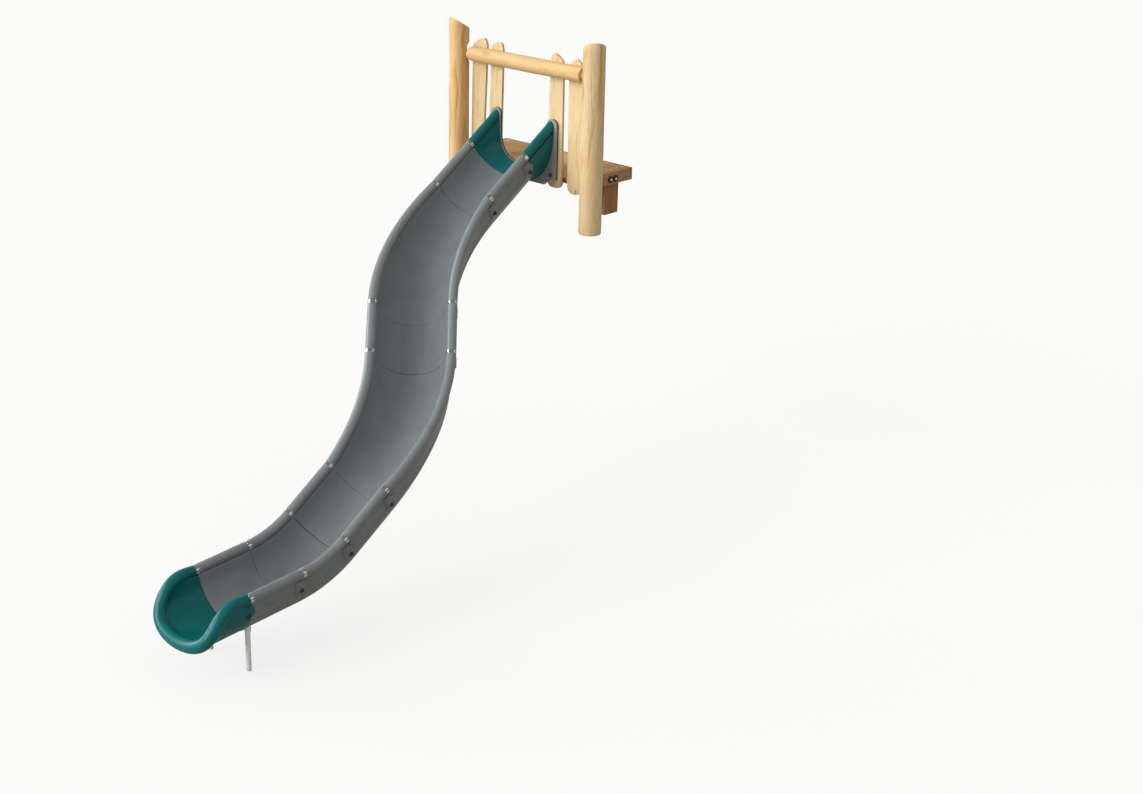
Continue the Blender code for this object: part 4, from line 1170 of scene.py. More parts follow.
# ---------------------------------------------------------------- lugs, bolts, bands
def lug_frame(station, sign):
    out = station.c * (sign * math.cos(LUG_ANGLE)) - station.n * math.sin(LUG_ANGLE)
    r = station.outer
    base = station.at(sign * r * math.cos(LUG_ANGLE), -CENTRE_DROP - r * math.sin(LUG_ANGLE))
    across = out.cross(station.t)
    return base, station.t, across, out


def lug(name, station, sign, mat):
    def seat(u, v, h):
        a = LUG_ANGLE + v / station.outer
        r = station.outer + h
        return station.at(sign * r * math.cos(a), -CENTRE_DROP - r * math.sin(a), u)
    tip = [(LUG_CENTRE + LUG_R * math.cos(math.pi / 2 + math.pi * k / 28),
            LUG_R * math.sin(math.pi / 2 + math.pi * k / 28)) for k in range(29)]
    plan = [(0.064, LUG_R), (0.056, LUG_R), (0.046, LUG_R)] + tip + [(0.046, -LUG_R), (0.056, -LUG_R), (0.064, -LUG_R)]

    def top(u):
        return LUG_TOP - 0.0180 * smooth01((u - 0.048) / 0.016)

    def low(u):
        return min(LUG_LIFT, top(u) - 0.006)
    mesh = Mesh()
    levels = [(0.0, "low"), (0.0, 0.55), (0.0, 0.78), (0.0007, 0.90), (0.0018, 0.975), (0.0032, 1.0)]
    loops = []
    n = len(plan)
    for inset, level in levels:
        ring = []
        for u, v in plan:
            c = Vector((LUG_CENTRE, 0.0)) if u < LUG_CENTRE + 0.001 else Vector((u, 0.0))
            d = Vector((u, v)) - c
            p = c + d * (1 - inset / max(d.length, 1e-6))
            h = low(u) if level == "low" else low(u) + (top(u) - low(u)) * level
            ring.append(mesh.point(seat(p.x, p.y, h)))
        loops.append(ring)
    for a, b in zip(loops, loops[1:]):
        mesh.skin(a, b)
    # faces across, strip by strip, with points between so that they follow the round
    for ring, level in ((loops[0], 0.0), (loops[-1], 1.0)):
        half = n // 2
        strips = []
        for i in range(half):
            u, v = plan[i]
            inset = 0.0 if level == 0.0 else 0.0032
            c = LUG_CENTRE if u < LUG_CENTRE + 0.001 else u
            d = math.hypot(u - c, v)
            f = 1 - inset / max(d, 1e-6)
            u, v = c + (u - c) * f, v * f
            strip = [ring[i]]
            for q in (0.66, 0.33, 0.0, -0.33, -0.66):
                strip.append(mesh.point(seat(u, v * q, low(u) if level == 0.0 else top(u))))
            strip.append(ring[n - 1 - i])
            strips.append(strip)
        for a, b in zip(strips, strips[1:]):
            for k in range(6):
                mesh.face((a[k], a[k + 1], b[k + 1], b[k]))
        last = strips[-1]
        if n % 2:
            for k in range(6):
                mesh.face((last[k], last[k + 1], ring[half]))
        else:
            mesh.face(last)
    obj = mesh.build(name, [mat], 32.0)
    return obj


def hex_radius(a, flat):
    step = math.pi / 3
    return flat / math.cos(((a + step / 2) % step) - step / 2)


def cap_bolt(name, point, direction, radius, height, seat=True):
    """Black cap head with a hexagon socket, standing on a thin dished washer."""
    u, v, d = frame_about(direction)
    mesh = Mesh()
    flat = radius * 0.40
    prof = [(radius * 0.5, -0.004), (radius * 1.04, -0.0012), (radius * 1.04, 0.0006), (radius * 0.97, 0.0012),
            (radius * 0.97, height * 0.50), (radius * 0.94, height * 0.72), (radius * 0.86, height * 0.90),
            (radius * 0.74, height * 0.985), (radius * 0.62, height), (flat * 1.18, height),
            (flat * 1.10, height * 0.96), (flat * 1.06, height * 0.40), (flat * 0.6, height * 0.34), (0.0, height * 0.30)]
    mats = [0] * 10 + [1, 1, 1]
    def radius_of(a, r, i):
        if i in (10, 11):
            return hex_radius(a, r)
        if i == 12:
            return hex_radius(a, r) * 0.9
        return r
    lathe(mesh, prof, 48, axes(point, u, v, d), mats, radius_of)
    return mesh.build(name, [CAP, SOCKET], 28.0)


teal_owner = {1: GREY, 8: TEAL}
for number, joint in enumerate(joints, start=1):
    mat = TEAL if number == 8 else GREY
    for sign, side in ((1, "left"), (-1, "right")):
        lug("joint_lug_%d_%s" % (number, side), joint, sign, mat)
        base, t, across, out = lug_frame(joint, sign)
        turn = LUG_BOLT_DOWN / joint.outer
        facing = out * math.cos(turn) + across * (sign * math.sin(turn))
        centre = joint.at(0.0, -CENTRE_DROP)
        obj = cap_bolt("joint_bolt_%d_%s" % (number, side),
                       centre + facing * (joint.outer + LUG_TOP - 0.0006) + t * LUG_BOLT_T, facing, LUG_BOLT_R, 0.010)
        if sign == 1:
            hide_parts("lug_bolt_%d" % number)
        # mirror band between the rail ends
        mesh = Mesh()
        half = RAIL_SETBACK - CLEAR
        prof = [(COLLAR_R * 0.80, -half), (COLLAR_R - 0.0003, -half), (COLLAR_R, -half + 0.0003),
                (COLLAR_R, 0.0), (COLLAR_R, half - 0.0003), (COLLAR_R - 0.0003, half), (COLLAR_R * 0.80, half)]
        lathe(mesh, prof, 96, axes(joint.at(sign * W / 2, 0.0), joint.c, joint.n, joint.t))
        obj = mesh.build("rail_band_%d_%s" % (number, side), [STEEL], 30.0)
        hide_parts("rail_coupling_%d_%s" % (number, side))


# ---------------------------------------------------------------- start plate
def plate_outline(grow, inner_steps=44, ear_steps=28):
    right = []
    for k in range(ear_steps + 1):
        a = math.pi - math.pi * k / ear_steps
        right.append((EAR_X + EAR_R * math.cos(a), EAR_Z + EAR_R * math.sin(a)))
    def rounded(corner, before, after, r, steps=5):
        c, b, f = Vector(corner), Vector(before), Vector(after)
        u, v = (b - c).normalized(), (f - c).normalized()
        angle = u.angle(v)
        d = r / math.tan(angle / 2)
        p, q = c + u * d, c + v * d
        m = c + (u + v).normalized() * (r / math.sin(angle / 2))
        out = []
        for k in range(steps + 1):
            x = p.lerp(q, k / steps) - m
            out.append(tuple(m + x.normalized() * r))
        return out
    edge, step, low = (PLATE_EDGE_X, FOOT_Z), (FOOT_IN_X, FOOT_Z), (PLATE_LOW_X, PLATE_LOW_Z)
    right += rounded(edge, (PLATE_EDGE_X, 0.0), step, 0.006)
    right += rounded(step, edge, low, 0.004)
    right += rounded(low, step, (0.0, PLATE_LOW_Z), 0.010)
    inner = []
    for k in range(inner_steps + 1):
        d = 4.0 + 86.0 * k / inner_steps
        inner.append(entry_point(math.radians(d), grow))
    pts = list(reversed(inner[:-1])) + right
    left = [(-x, z) for x, z in reversed(pts)]
    return pts + left + [(0.0, inner[-1][1])]


def plate(name, y0, y1, grow, mats, bevel, segments, node, rim=None):
    bm = bmesh.new()
    low_face, high_face, a, b = prism(bm, plate_outline(grow), y0, y1, lambda u, v, h: Vector((u, h, v)))
    edges = list(low_face.edges) + list(high_face.edges)
    made = bmesh.ops.bevel(bm, geom=edges, offset=bevel, segments=segments, affect="EDGES", profile=0.5,
                           clamp_overlap=True)
    # painted highlight: the bevel faces and the side faces take the light rim material
    if rim is not None:
        for f in bm.faces:
            f.material_index = 0
        for f in made["faces"]:
            f.material_index = rim
        for f in bm.faces:
            if abs(f.normal.y) < 0.5:
                f.material_index = rim
    obj = from_bm(name, bm, mats, 50.0)
    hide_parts(node)
    return obj


plate("start_plate_look", PLATE_Y, PLATE_Y + PLATE_T, 0.0010, [PLATE, PLATE_EDGE_HIGHLIGHT], 0.0058, 4, "start_plate",
      rim=1)
plate("plate_backing_look", PLATE_Y + PLATE_T + CLEAR, PLATE_Y + PLATE_T + CLEAR + BACKING_T, 0.0010, [BLACK], 0.0008, 1,
      "plate_backing")
for sign, side in ((1, "right"), (-1, "left")):
    point = Vector((sign * PLATE_BOLT_X, PLATE_Y, PLATE_BOLT_Z))
    obj = cap_bolt("plate_bolt_%s" % side, point, Vector((0, -1, 0)), 0.0150, 0.0075)
    obj.data.materials[0] = GREY_CAP
    if sign == 1:
        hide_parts("plate_bolt")


# ---------------------------------------------------------------- timber
def pole(name, node, x, y, radius, z0, top, wood, end, wobble, seed, notch=None):
    sides, rings = 96, 90
    mesh = Mesh()
    levels = []
    z_top = top(x, y)
    chamfer = 0.0025
    for r in range(rings + 4):
        f = min(1.0, r / (rings - 1))
        z = z0 + (z_top - z0) * f
        ring = []
        for k in range(sides):
            a = 2 * math.pi * k / sides
            rr = radius * (1.0 + wobble * 0.5 * (math.sin(2 * a + 1.3 + 2.1 * f) + 0.6 * math.sin(3 * a - 4.0 * f)))
            rr *= 1.012 - 0.024 * f
            rr += 0.0011 * noise.noise(Vector((math.cos(a) * 1.6, math.sin(a) * 1.6, z * 3.0 + seed)))
            rr += 0.0005 * noise.noise(Vector((math.cos(a) * 9.0, math.sin(a) * 9.0, z * 2.0 + seed)))
            dx = radius * wobble * 1.2 * math.sin(3.1 * f + x)
            if r == 0:
                rr -= 0.003
            inset = 0.0
            if r >= rings - 1:
                inset = (0.0, 0.0003, 0.0008, 0.0014, 0.0014)[r - rings + 1]
                rr -= inset
            px, py = x + dx + rr * math.cos(a), y + rr * math.sin(a)
            cut_z = top(px, py)
            if r >= rings - 1:
                pz = cut_z - (0.0014, 0.0007, 0.0002, 0.0, 0.0)[r - rings + 1]
            else:
                pz = min(z, cut_z - 0.0018 - 0.0002 * (rings - r))
            ring.append(mesh.point((px, py, pz)))
        levels.append(ring)
    for i, (a, b) in enumerate(zip(levels[:-1], levels[1:-1])):
        mesh.skin(a, b)
    mesh.face(list(reversed(levels[0])))
    rim = levels[-2]
    cx = sum(mesh.verts[i][0] for i in rim) / sides
    cy = sum(mesh.verts[i][1] for i in rim) / sides
    prev = rim
    for q in (0.8, 0.55, 0.3):
        nxt = []
        for i in rim:
            px, py = cx + (mesh.verts[i][0] - cx) * q, cy + (mesh.verts[i][1] - cy) * q
            nxt.append(mesh.point((px, py, top(px, py))))
        mesh.skin(prev, nxt, True, 1)
        prev = nxt
    centre = mesh.point((cx, cy, top(cx, cy)))
    for k in range(sides):
        mesh.face((prev[k], prev[(k + 1) % sides], centre), 1)
    # the last ring of levels was only used for its height
    obj = mesh.build(name, [wood, end, wood], 40.0)
    bm = bmesh.new()
    bm.from_mesh(obj.data)
    bmesh.ops.delete(bm, geom=[v for v in bm.verts if not v.link_faces], context="VERTS")
    bm.to_mesh(obj.data)
    bm.free()
    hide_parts(node)
    return obj


right_post = pole("post_right_look", "post_right", POST_X_RIGHT, POST_Y, POST_R_RIGHT, POST_FOOT_Z,
                  lambda x, y: POST_TOP_RIGHT + RIGHT_CUT_X * (x - POST_X_RIGHT) + RIGHT_CUT_Y * (y - POST_Y),
                  POST_WOOD, END_RIGHT, 0.016, 3.0)
# tenon socket in the right post; its cut faces take the dark edge timber as painted shade inside the hole
bm = bmesh.new()
prism(bm, [((TENON_R + 0.0006) * math.cos(2 * math.pi * k / 40), (TENON_R + 0.0006) * math.sin(2 * math.pi * k / 40))
           for k in range(40)], BAR_END - 0.02, TENON_END + 0.001,
      axes(ORIGIN + Vector((0, BAR_Y, BAR_Z)), Vector((0, 1, 0)), Vector((0, 0, 1)), Vector((1, 0, 0))))
socket = loose("socket", bm)
for m in (POST_WOOD, END_RIGHT, EDGE_SHADE_WOOD):
    socket.data.materials.append(m)
for p in socket.data.polygons:
    p.material_index = 2
right_post.data.materials[2] = EDGE_SHADE_WOOD
cut(right_post, socket)
right_post.data.shade_smooth()
right_post.data.set_sharp_from_angle(angle=math.radians(40))
left_post = pole("post_left_look", "post_left", POST_X_LEFT, POST_Y, POST_R_LEFT, POST_FOOT_Z,
                 lambda x, y: POST_TOP_LEFT + LEFT_CUT_X * (x - POST_X_LEFT) + LEFT_CUT_Y * (y - POST_Y),
                 LEFT_WOOD, END_LEFT, 0.020, 11.0)
# notch in the left post for the bar's tip; its cut faces take the dark edge timber as painted shade inside the notch
bm = bmesh.new()
prism(bm, [(NOTCH_FLOOR, -NOTCH_LOW), (NOTCH_FLOOR, NOTCH_UP), (NOTCH_FLOOR + 0.070, NOTCH_UP + 0.096),
           (NOTCH_FLOOR + 0.070, -NOTCH_LOW - 0.096)], -0.12, 0.12,
      axes(ORIGIN + Vector((POST_X_LEFT, POST_Y, BAR_Z)),
           Vector((math.cos(NOTCH_FACE), math.sin(NOTCH_FACE), 0.0)), Vector((0, 0, 1)),
           Vector((-math.sin(NOTCH_FACE), math.cos(NOTCH_FACE), 0.0))))
notch = loose("notch", bm)
for m in (LEFT_WOOD, END_LEFT, EDGE_SHADE_WOOD):
    notch.data.materials.append(m)
for p in notch.data.polygons:
    p.material_index = 2
left_post.data.materials[2] = EDGE_SHADE_WOOD
cut(left_post, notch)
left_post.data.shade_smooth()
left_post.data.set_sharp_from_angle(angle=math.radians(40))


def crossbar():
    sides = 96
    mesh = Mesh()
    flat = BOARD_Y - CLEAR
    stops = [(BAR_LEFT, 0.36, 0.36), (BAR_LEFT + 0.0045, 0.56, 0.60), (BAR_LEFT + 0.010, 0.68, 0.76),
             (BAR_LEFT + 0.019, 0.79, 0.88), (BAR_LEFT + 0.030, 0.88, 0.96),
             (BAR_LEFT + 0.055, 1.0, 1.0), (-0.36, 1.02, 1.02), (-0.12, 0.99, 0.99), (0.12, 1.01, 1.01),
             (0.36, 0.99, 0.99), (BAR_END - 0.004, 1.0, 1.0), (BAR_END - 0.0012, 0.985, 0.985),
             (BAR_END, 0.955, 0.955)]

    def value(x, column):
        for a, b in zip(stops, stops[1:]):
            if a[0] <= x <= b[0]:
                f = (x - a[0]) / (b[0] - a[0])
                f = f * f * (3 - 2 * f) if b[0] - a[0] > 0.1 else f
                return a[column] + (b[column] - a[column]) * f
        return stops[-1][column]
    xs = [BAR_LEFT + d for d in (0.0, 0.001, 0.0025, 0.005, 0.010, 0.015, 0.020, 0.025, 0.030, 0.038, 0.048, 0.058,
                                 0.068)]
    n = 110
    for k in range(1, n + 1):
        xs.append(BAR_LEFT + 0.068 + (BAR_END - 0.010 - BAR_LEFT - 0.068) * k / n)
    xs += [BAR_END - d for d in (0.007, 0.004, 0.0025, 0.0012, 0.0005, 0.0)]
    rings = []
    for x in xs:
        ring = []
        up, lo = value(x, 1), value(x, 2)
        for k in range(sides):
            a = 2 * math.pi * k / sides
            blend = 0.5 + 0.5 * math.sin(a)
            scale = lo + (up - lo) * smooth01(blend)
            rr = BAR_R * scale * (1 + 0.008 * math.sin(2 * a + 6 * x))
            rr += 0.0009 * noise.noise(Vector((x * 4.0, math.cos(a) * 1.5, math.sin(a) * 1.5)))
            rr += 0.0005 * noise.noise(Vector((x * 3.0 + 9.0, math.cos(a) * 9.0, math.sin(a) * 9.0)))
            y = BAR_Y + rr * math.cos(a)
            ring.append(mesh.point((x, min(y, flat), BAR_Z + rr * math.sin(a))))
        rings.append(ring)
    for a, b in zip(rings, rings[1:]):
        mesh.skin(a, b)
    mesh.face(list(reversed(rings[0])))
    # shoulder in the dark end grain (real end grain plus painted shade), then a round tenon that runs into the post
    previous = rings[-1]
    for x, r, mat in ((BAR_END, 0.045, 1), (BAR_END, 0.036, 1), (BAR_END, TENON_R, 1), (BAR_END + 0.0005, TENON_R, 0),
                      (TENON_END - 0.002, TENON_R, 0), (TENON_END, TENON_R - 0.002, 0)):
        ring = [mesh.point((x, BAR_Y + r * math.cos(2 * math.pi * k / sides), BAR_Z + r * math.sin(2 * math.pi * k / sides)))
                for k in range(sides)]
        mesh.skin(previous, ring, True, mat)
        previous = ring
    mesh.face(previous, 1)
    obj = mesh.build("crossbar_look", [BAR_WOOD, SHADED_BAR_END_GRAIN], 40.0)
    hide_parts("crossbar")


crossbar()


def board(name, left0, left1, right0, right1, z_bottom, z_left, z_right, z_peak, peak, power_left, power_right,
          corner):
    shape = []
    steps = 14
    for k in range(steps + 1):
        a = math.pi + (math.pi / 2) * k / steps
        shape.append((left0 + corner + corner * math.cos(a), z_bottom + corner + corner * math.sin(a)))
    for k in range(steps + 1):
        a = 1.5 * math.pi + (math.pi / 2) * k / steps
        shape.append((right0 - corner + corner * math.cos(a), z_bottom + corner + corner * math.sin(a)))
    apex = left1 + (right1 - left1) * peak
    for k in range(steps + 1):
        q = k / steps * math.pi / 2
        shape.append((apex + (right1 - apex) * math.cos(q) ** (2 / power_right),
                      z_right + (z_peak - z_right) * math.sin(q) ** (2 / power_right)))
    for k in range(1, steps + 1):
        q = math.pi / 2 * (1 - k / steps)
        shape.append((apex - (apex - left1) * math.cos(q) ** (2 / power_left),
                      z_left + (z_peak - z_left) * math.sin(q) ** (2 / power_left)))
    clean = []
    for p in shape:
        if not clean or math.hypot(p[0] - clean[-1][0], p[1] - clean[-1][1]) > 0.0006:
            clean.append(p)
    bm = bmesh.new()
    low_face, high_face, a, b = prism(bm, clean, BOARD_Y, BOARD_Y + BOARD_T, lambda u, v, h: Vector((u, h, v)))
    # painted shade: every side and rounded edge of the board takes the dark edge timber; only the two faces keep the
    # board timber
    for f in bm.faces:
        f.material_index = 1
    low_face.material_index = 0
    high_face.material_index = 0
    bmesh.ops.bevel(bm, geom=list(low_face.edges) + list(high_face.edges), offset=0.0012, segments=3,
                    affect="EDGES", profile=0.5, material=1, clamp_overlap=True)
    obj = from_bm(name + "_look", bm, [BOARD_WOOD, EDGE_SHADE_WOOD], 35.0)
    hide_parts(name)


board("board_1", -0.5600, -0.5490, -0.4390, -0.4010, -0.2700, 0.6450, 0.6650, 0.7210, 0.787, 1.55, 1.5, 0.042)
board("board_2", -0.3790, -0.3575, -0.2530, -0.2370, -0.2700, 0.6400, 0.6400, 0.7105, 0.80, 2.7, 2.0, 0.042)
board("board_3", 0.2330, 0.2410, 0.3710, 0.3650, -0.2640, 0.6450, 0.6450, 0.7070, 0.36, 2.2, 1.3, 0.046)
board("board_4", 0.4290, 0.4215, 0.5600, 0.5620, -0.2810, 0.6400, 0.6400, 0.6930, 0.50, 1.35, 1.2, 0.058)


def block(name, x0, x1, y0, y1, z0, z1, mats, node, bevel=0.003, end_axis=None):
    bm = bmesh.new()
    prism(bm, [(x0, y0), (x1, y0), (x1, y1), (x0, y1)], z0, z1, lambda u, v, h: Vector((u, v, h)))
    bmesh.ops.recalc_face_normals(bm, faces=bm.faces)
    if end_axis is not None:
        for f in bm.faces:
            f.material_index = 1 if abs(f.normal[end_axis]) > 0.9 else 0
    bmesh.ops.bevel(bm, geom=bm.edges[:], offset=bevel, segments=3, affect="EDGES", profile=0.5, material=0)
    obj = from_bm(name, bm, mats, 35.0)
    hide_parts(node)
    return obj


inner_x = DECK_HALF - BEAM_T - CLEAR
plank_y0 = BOARD_Y + BOARD_T + CLEAR
plank_y1 = DECK_BACK_Y - FASCIA_T - CLEAR
pitch = (plank_y1 - plank_y0 + PLANK_GAP) / PLANKS
low = DECK_Z - BEAM_H
under = DECK_Z - PLANK_T - CLEAR
END_DECK = end_grain("deck_end", (0.36, 0.17, 0.065), (0.24, 0.10, 0.035), tuple(ORIGIN + Vector((0.6, 0.8, -0.10))))


def plank(index):
    """Deck plank with shallow grooves along its top."""
    y = plank_y0 + index * pitch
    width = pitch - PLANK_GAP
    prof = []
    r = 0.004
    prof += [(y + 0.001, DECK_Z - PLANK_T), (y, DECK_Z - PLANK_T + 0.001)]
    for k in range(5):
        a = math.pi - math.pi / 2 * k / 4
        prof.append((y + r + r * math.cos(a), DECK_Z - r + r * math.sin(a)))
    grooves = 6
    step = (width - 0.018) / grooves
    for g in range(grooves):
        gy = y + 0.009 + step * (g + 0.5)
        for d, depth in ((-0.0030, 0.0), (-0.0022, 0.0007), (-0.0013, 0.0017), (0.0, 0.0021), (0.0013, 0.0017),
                         (0.0022, 0.0007), (0.0030, 0.0)):
            prof.append((gy + d, DECK_Z - depth))
    for k in range(5):
        a = math.pi / 2 - math.pi / 2 * k / 4
        prof.append((y + width - r + r * math.cos(a), DECK_Z - r + r * math.sin(a)))
    prof += [(y + width, DECK_Z - PLANK_T + 0.001), (y + width - 0.001, DECK_Z - PLANK_T)]
    mesh = Mesh()
    xs = [-inner_x, -inner_x + 0.001] + [(-inner_x + 0.001) + (2 * inner_x - 0.002) * k / 40 for k in range(1, 40)] + \
         [inner_x - 0.001, inner_x]
    rings = []
    cy, cz = y + width / 2, DECK_Z - PLANK_T / 2
    for i, x in enumerate(xs):
        shrink = 0.985 if i in (0, len(xs) - 1) else 1.0
        rings.append([mesh.point((x, cy + (py - cy) * shrink, cz + (pz - cz) * shrink
                                  + (0.0004 * noise.noise(Vector((x * 3, py * 20, index))) if pz > cz else 0.0)))
                      for py, pz in prof])
    for a, b in zip(rings, rings[1:]):
        mesh.skin(a, b)
    mesh.face(list(reversed(rings[0])), 1)
    mesh.face(rings[-1], 1)
    obj = mesh.build("deck_plank_%d_look" % (index + 1), [DECK_WOOD, END_DECK], 30.0)
    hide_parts("deck_plank_%d" % (index + 1))


for index in range(PLANKS):
    plank(index)
    y = plank_y0 + index * pitch
    for sx in (-1, 1):
        for q in (0.27, 0.73):
            mesh = Mesh()
            point = Vector((sx * 0.5775, y + (pitch - PLANK_GAP) * q, DECK_Z))
            lathe(mesh, [(0.0052, -0.003), (0.0055, -0.0006), (0.0050, 0.0004), (0.0035, 0.0007), (0.0022, 0.0006),
                         (0.0019, -0.0012), (0.0, -0.0014)], 24,
                  axes(point, Vector((1, 0, 0)), Vector((0, 1, 0)), Vector((0, 0, 1))))
            mesh.build("deck_screw_%d_%s%d" % (index + 1, "r" if sx > 0 else "l", 1 if q < 0.5 else 2), [ZINC], 30.0)

block("deck_front_beam_look", -inner_x, inner_x, plank_y0, plank_y0 + FRONT_BEAM_T, low, under,
      [FASCIA_WOOD, END_DECK], "deck_front_beam", 0.003, 0)
rear_y0 = REAR_POST_Y + REAR_POST / 2 + CLEAR
block("deck_rear_beam_look", -inner_x, inner_x, rear_y0, rear_y0 + REAR_BEAM_T, low, under,
      [FASCIA_WOOD, END_DECK], "deck_rear_beam", 0.003, 0)
block("deck_fascia_look", -DECK_HALF, DECK_HALF, plank_y1 + CLEAR, DECK_BACK_Y, low, DECK_Z,
      [FASCIA_WOOD, END_DECK], "deck_fascia", 0.003, 0)
block("deck_beam_right_look", DECK_HALF - BEAM_T, DECK_HALF, SIDE_BEAM_Y0, plank_y1, low, DECK_Z,
      [BEAM_WOOD, END_DECK], "deck_beam_right", 0.003, 1)
block("deck_beam_left_look", -DECK_HALF, -DECK_HALF + BEAM_T, SIDE_BEAM_Y0, plank_y1, low, DECK_Z,
      [BEAM_WOOD, END_DECK], "deck_beam_left", 0.003, 1)
for sign, side in ((1, "right"), (-1, "left")):
    x_out = sign * inner_x
    x_in = sign * (inner_x - REAR_POST_X)
    block("rear_post_%s_look" % side, min(x_out, x_in), max(x_out, x_in), REAR_POST_Y - REAR_POST / 2,
          REAR_POST_Y + REAR_POST / 2, REAR_POST_FOOT_Z, under, [STUB_WOOD, END_DECK], "rear_post_%s" % side,
          0.010, 2)


# ---------------------------------------------------------------- platform fasteners
def dome_nut(name, point, direction, node, radius=0.0260, height=0.0130):
    """Black cup washer with a bright domed nut in it."""
    u, v, d = frame_about(direction)
    mesh = Mesh()
    prof = [(radius * 0.6, -0.004), (radius, 0.0002), (radius, height * 0.30), (radius * 0.95, height * 0.52),
            (radius * 0.84, height * 0.62), (radius * 0.72, height * 0.52), (radius * 0.60, height * 0.24),
            (radius * 0.36, height * 0.20)]
    lathe(mesh, prof, 56, axes(point, u, v, d))
    cup = mesh.build(name + "_cup", [CAP], 30.0)
    mesh = Mesh()
    r = radius * 0.46
    prof = [(r * 0.9, 0.0010)]
    for k in range(10):
        a = math.pi / 2 * k / 10
        prof.append((r * math.cos(a) ** 0.8 if k else r, 0.0022 + (height * 1.12 - 0.0022) * math.sin(a)))
    prof.append((0.0, 0.0022 + (height * 1.12 - 0.0022)))
    lathe(mesh, prof, 48, axes(point, u, v, d))
    nut = mesh.build(name + "_dome", [CHROME], 40.0)
    if node:
        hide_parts(node)
    return cup, nut


for sign, side in ((1, ""), (-1, "_far")):
    out = Vector((sign, 0, 0))
    dome_nut("nut_front" + side, Vector((sign * DECK_HALF, 0.5185, -0.1810)), out, "dome_nut_front" if sign > 0 else None)
    dome_nut("nut_rear" + side, Vector((sign * DECK_HALF, 0.5720, -0.1815)), out, "dome_nut_rear" if sign > 0 else None)
    u, v, d = frame_about(out)
    mesh = Mesh()
    prof = [(0.0120, -0.004), (0.0200, 0.0002), (0.0205, 0.0014), (0.0190, 0.0022), (0.0130, 0.0024)]
    for k in range(9):
        a = math.pi / 2 * k / 8
        prof.append((0.0125 * math.cos(a), 0.0024 + 0.0066 * math.sin(a)) if k < 8 else (0.0, 0.0090))
    lathe(mesh, prof, 48, axes(Vector((sign * DECK_HALF, 0.6890, -0.1900)), u, v, d))
    obj = mesh.build("coach_bolt_look" + side, [DULL], 30.0)
    if sign > 0:
        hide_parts("coach_bolt")

# ---------------------------------------------------------------- saddle and legs
leg_point = s7_path(s7_len - LEG_UP)
saddle_out = 0.0045
mesh = Mesh()
rings = []
steps = 80
for k in range(steps + 1):
    lean = -41.5 + 83.0 * k / steps
    a = math.radians(-90 + lean)
    rib = 0.010 + 0.028 * math.exp(-((abs(lean) - 34.0) / 5.0) ** 2)
    def put(radius, t):
        return leg_point.at(radius * math.cos(a), -CENTRE_DROP + radius * math.sin(a), t)
    r0 = OUTER_LOW + CLEAR
    up, down = -0.0180, 0.0195
    shape = [(r0, up + 0.0008), (r0, down - 0.0008), (r0 + 0.0008, down), (r0 + saddle_out - 0.0008, down),
             (r0 + saddle_out, down - 0.0008), (r0 + saddle_out, up + 0.0068), (r0 + saddle_out + 0.0014, up + 0.0054),
             (r0 + rib - 0.0008, up + 0.005), (r0 + rib, up + 0.0042), (r0 + rib, up + 0.0008), (r0 + rib - 0.0008, up),
             (r0 + 0.0008, up)]
    rings.append([mesh.point(put(radius, t)) for radius, t in shape])
for a, b in zip(rings, rings[1:]):
    mesh.skin(a, b)
mesh.face(list(reversed(rings[0])))
mesh.face(rings[-1])
obj = mesh.build("leg_saddle_look", [ZINC], 40.0)
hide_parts("leg_saddle")

for sign, side in ((1, "left"), (-1, "right")):
    x = j8.pos.x + sign * LEG_SPREAD
    y = leg_point.at(0.0, -0.28, 0.0078).y
    top = leg_point.pos.z - 0.15
    bm = bmesh.new()
    sides = 48
    levels = []
    prof = [(LEG_R - 0.0020, LEG_FOOT_Z), (LEG_R - 0.0006, LEG_FOOT_Z + 0.0006), (LEG_R, LEG_FOOT_Z + 0.0020)]
    count = 14
    prof += [(LEG_R, LEG_FOOT_Z + 0.002 + (top - LEG_FOOT_Z - 0.002) * k / count) for k in range(1, count + 1)]
    for r, z in prof:
        levels.append([bm.verts.new((x + r * math.cos(2 * math.pi * k / sides), y + r * math.sin(2 * math.pi * k / sides),
                                     z)) for k in range(sides)])
    for a, b in zip(levels, levels[1:]):
        for k in range(sides):
            m = (k + 1) % sides
            bm.faces.new((a[k], a[m], b[m], b[k]))
    bm.faces.new(list(reversed(levels[0])))
    bm.faces.new(levels[-1])
    leg = loose("leg_tmp_%s" % side, bm)
    bm = bmesh.new()
    big = OUTER_LOW + saddle_out + 0.0006
    prism(bm, [(big * math.cos(2 * math.pi * k / 160), big * math.sin(2 * math.pi * k / 160)) for k in range(160)],
          -0.2, 0.2, axes(leg_point.at(0.0, -CENTRE_DROP), leg_point.c, leg_point.n, leg_point.t))
    cut(leg, loose("cope", bm))
    bm = bmesh.new()
    prism(bm, [(LEG_HOLE_R * math.cos(2 * math.pi * k / 28), LEG_HOLE_R * math.sin(2 * math.pi * k / 28))
               for k in range(28)], -0.03, 0.03,
          axes(Vector((x, y, LEG_FOOT_Z + LEG_HOLE_Z)), Vector((0, 1, 0)), Vector((0, 0, 1)), Vector((1, 0, 0))))
    cut(leg, loose("hole", bm))
    data = leg.data.copy()
    drop(leg)
    obj = place("leg_%s_look" % side, data, [ZINC], 40.0)
    for poly in data.polygons:
        poly.material_index = 0
    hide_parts("leg_%s" % side)

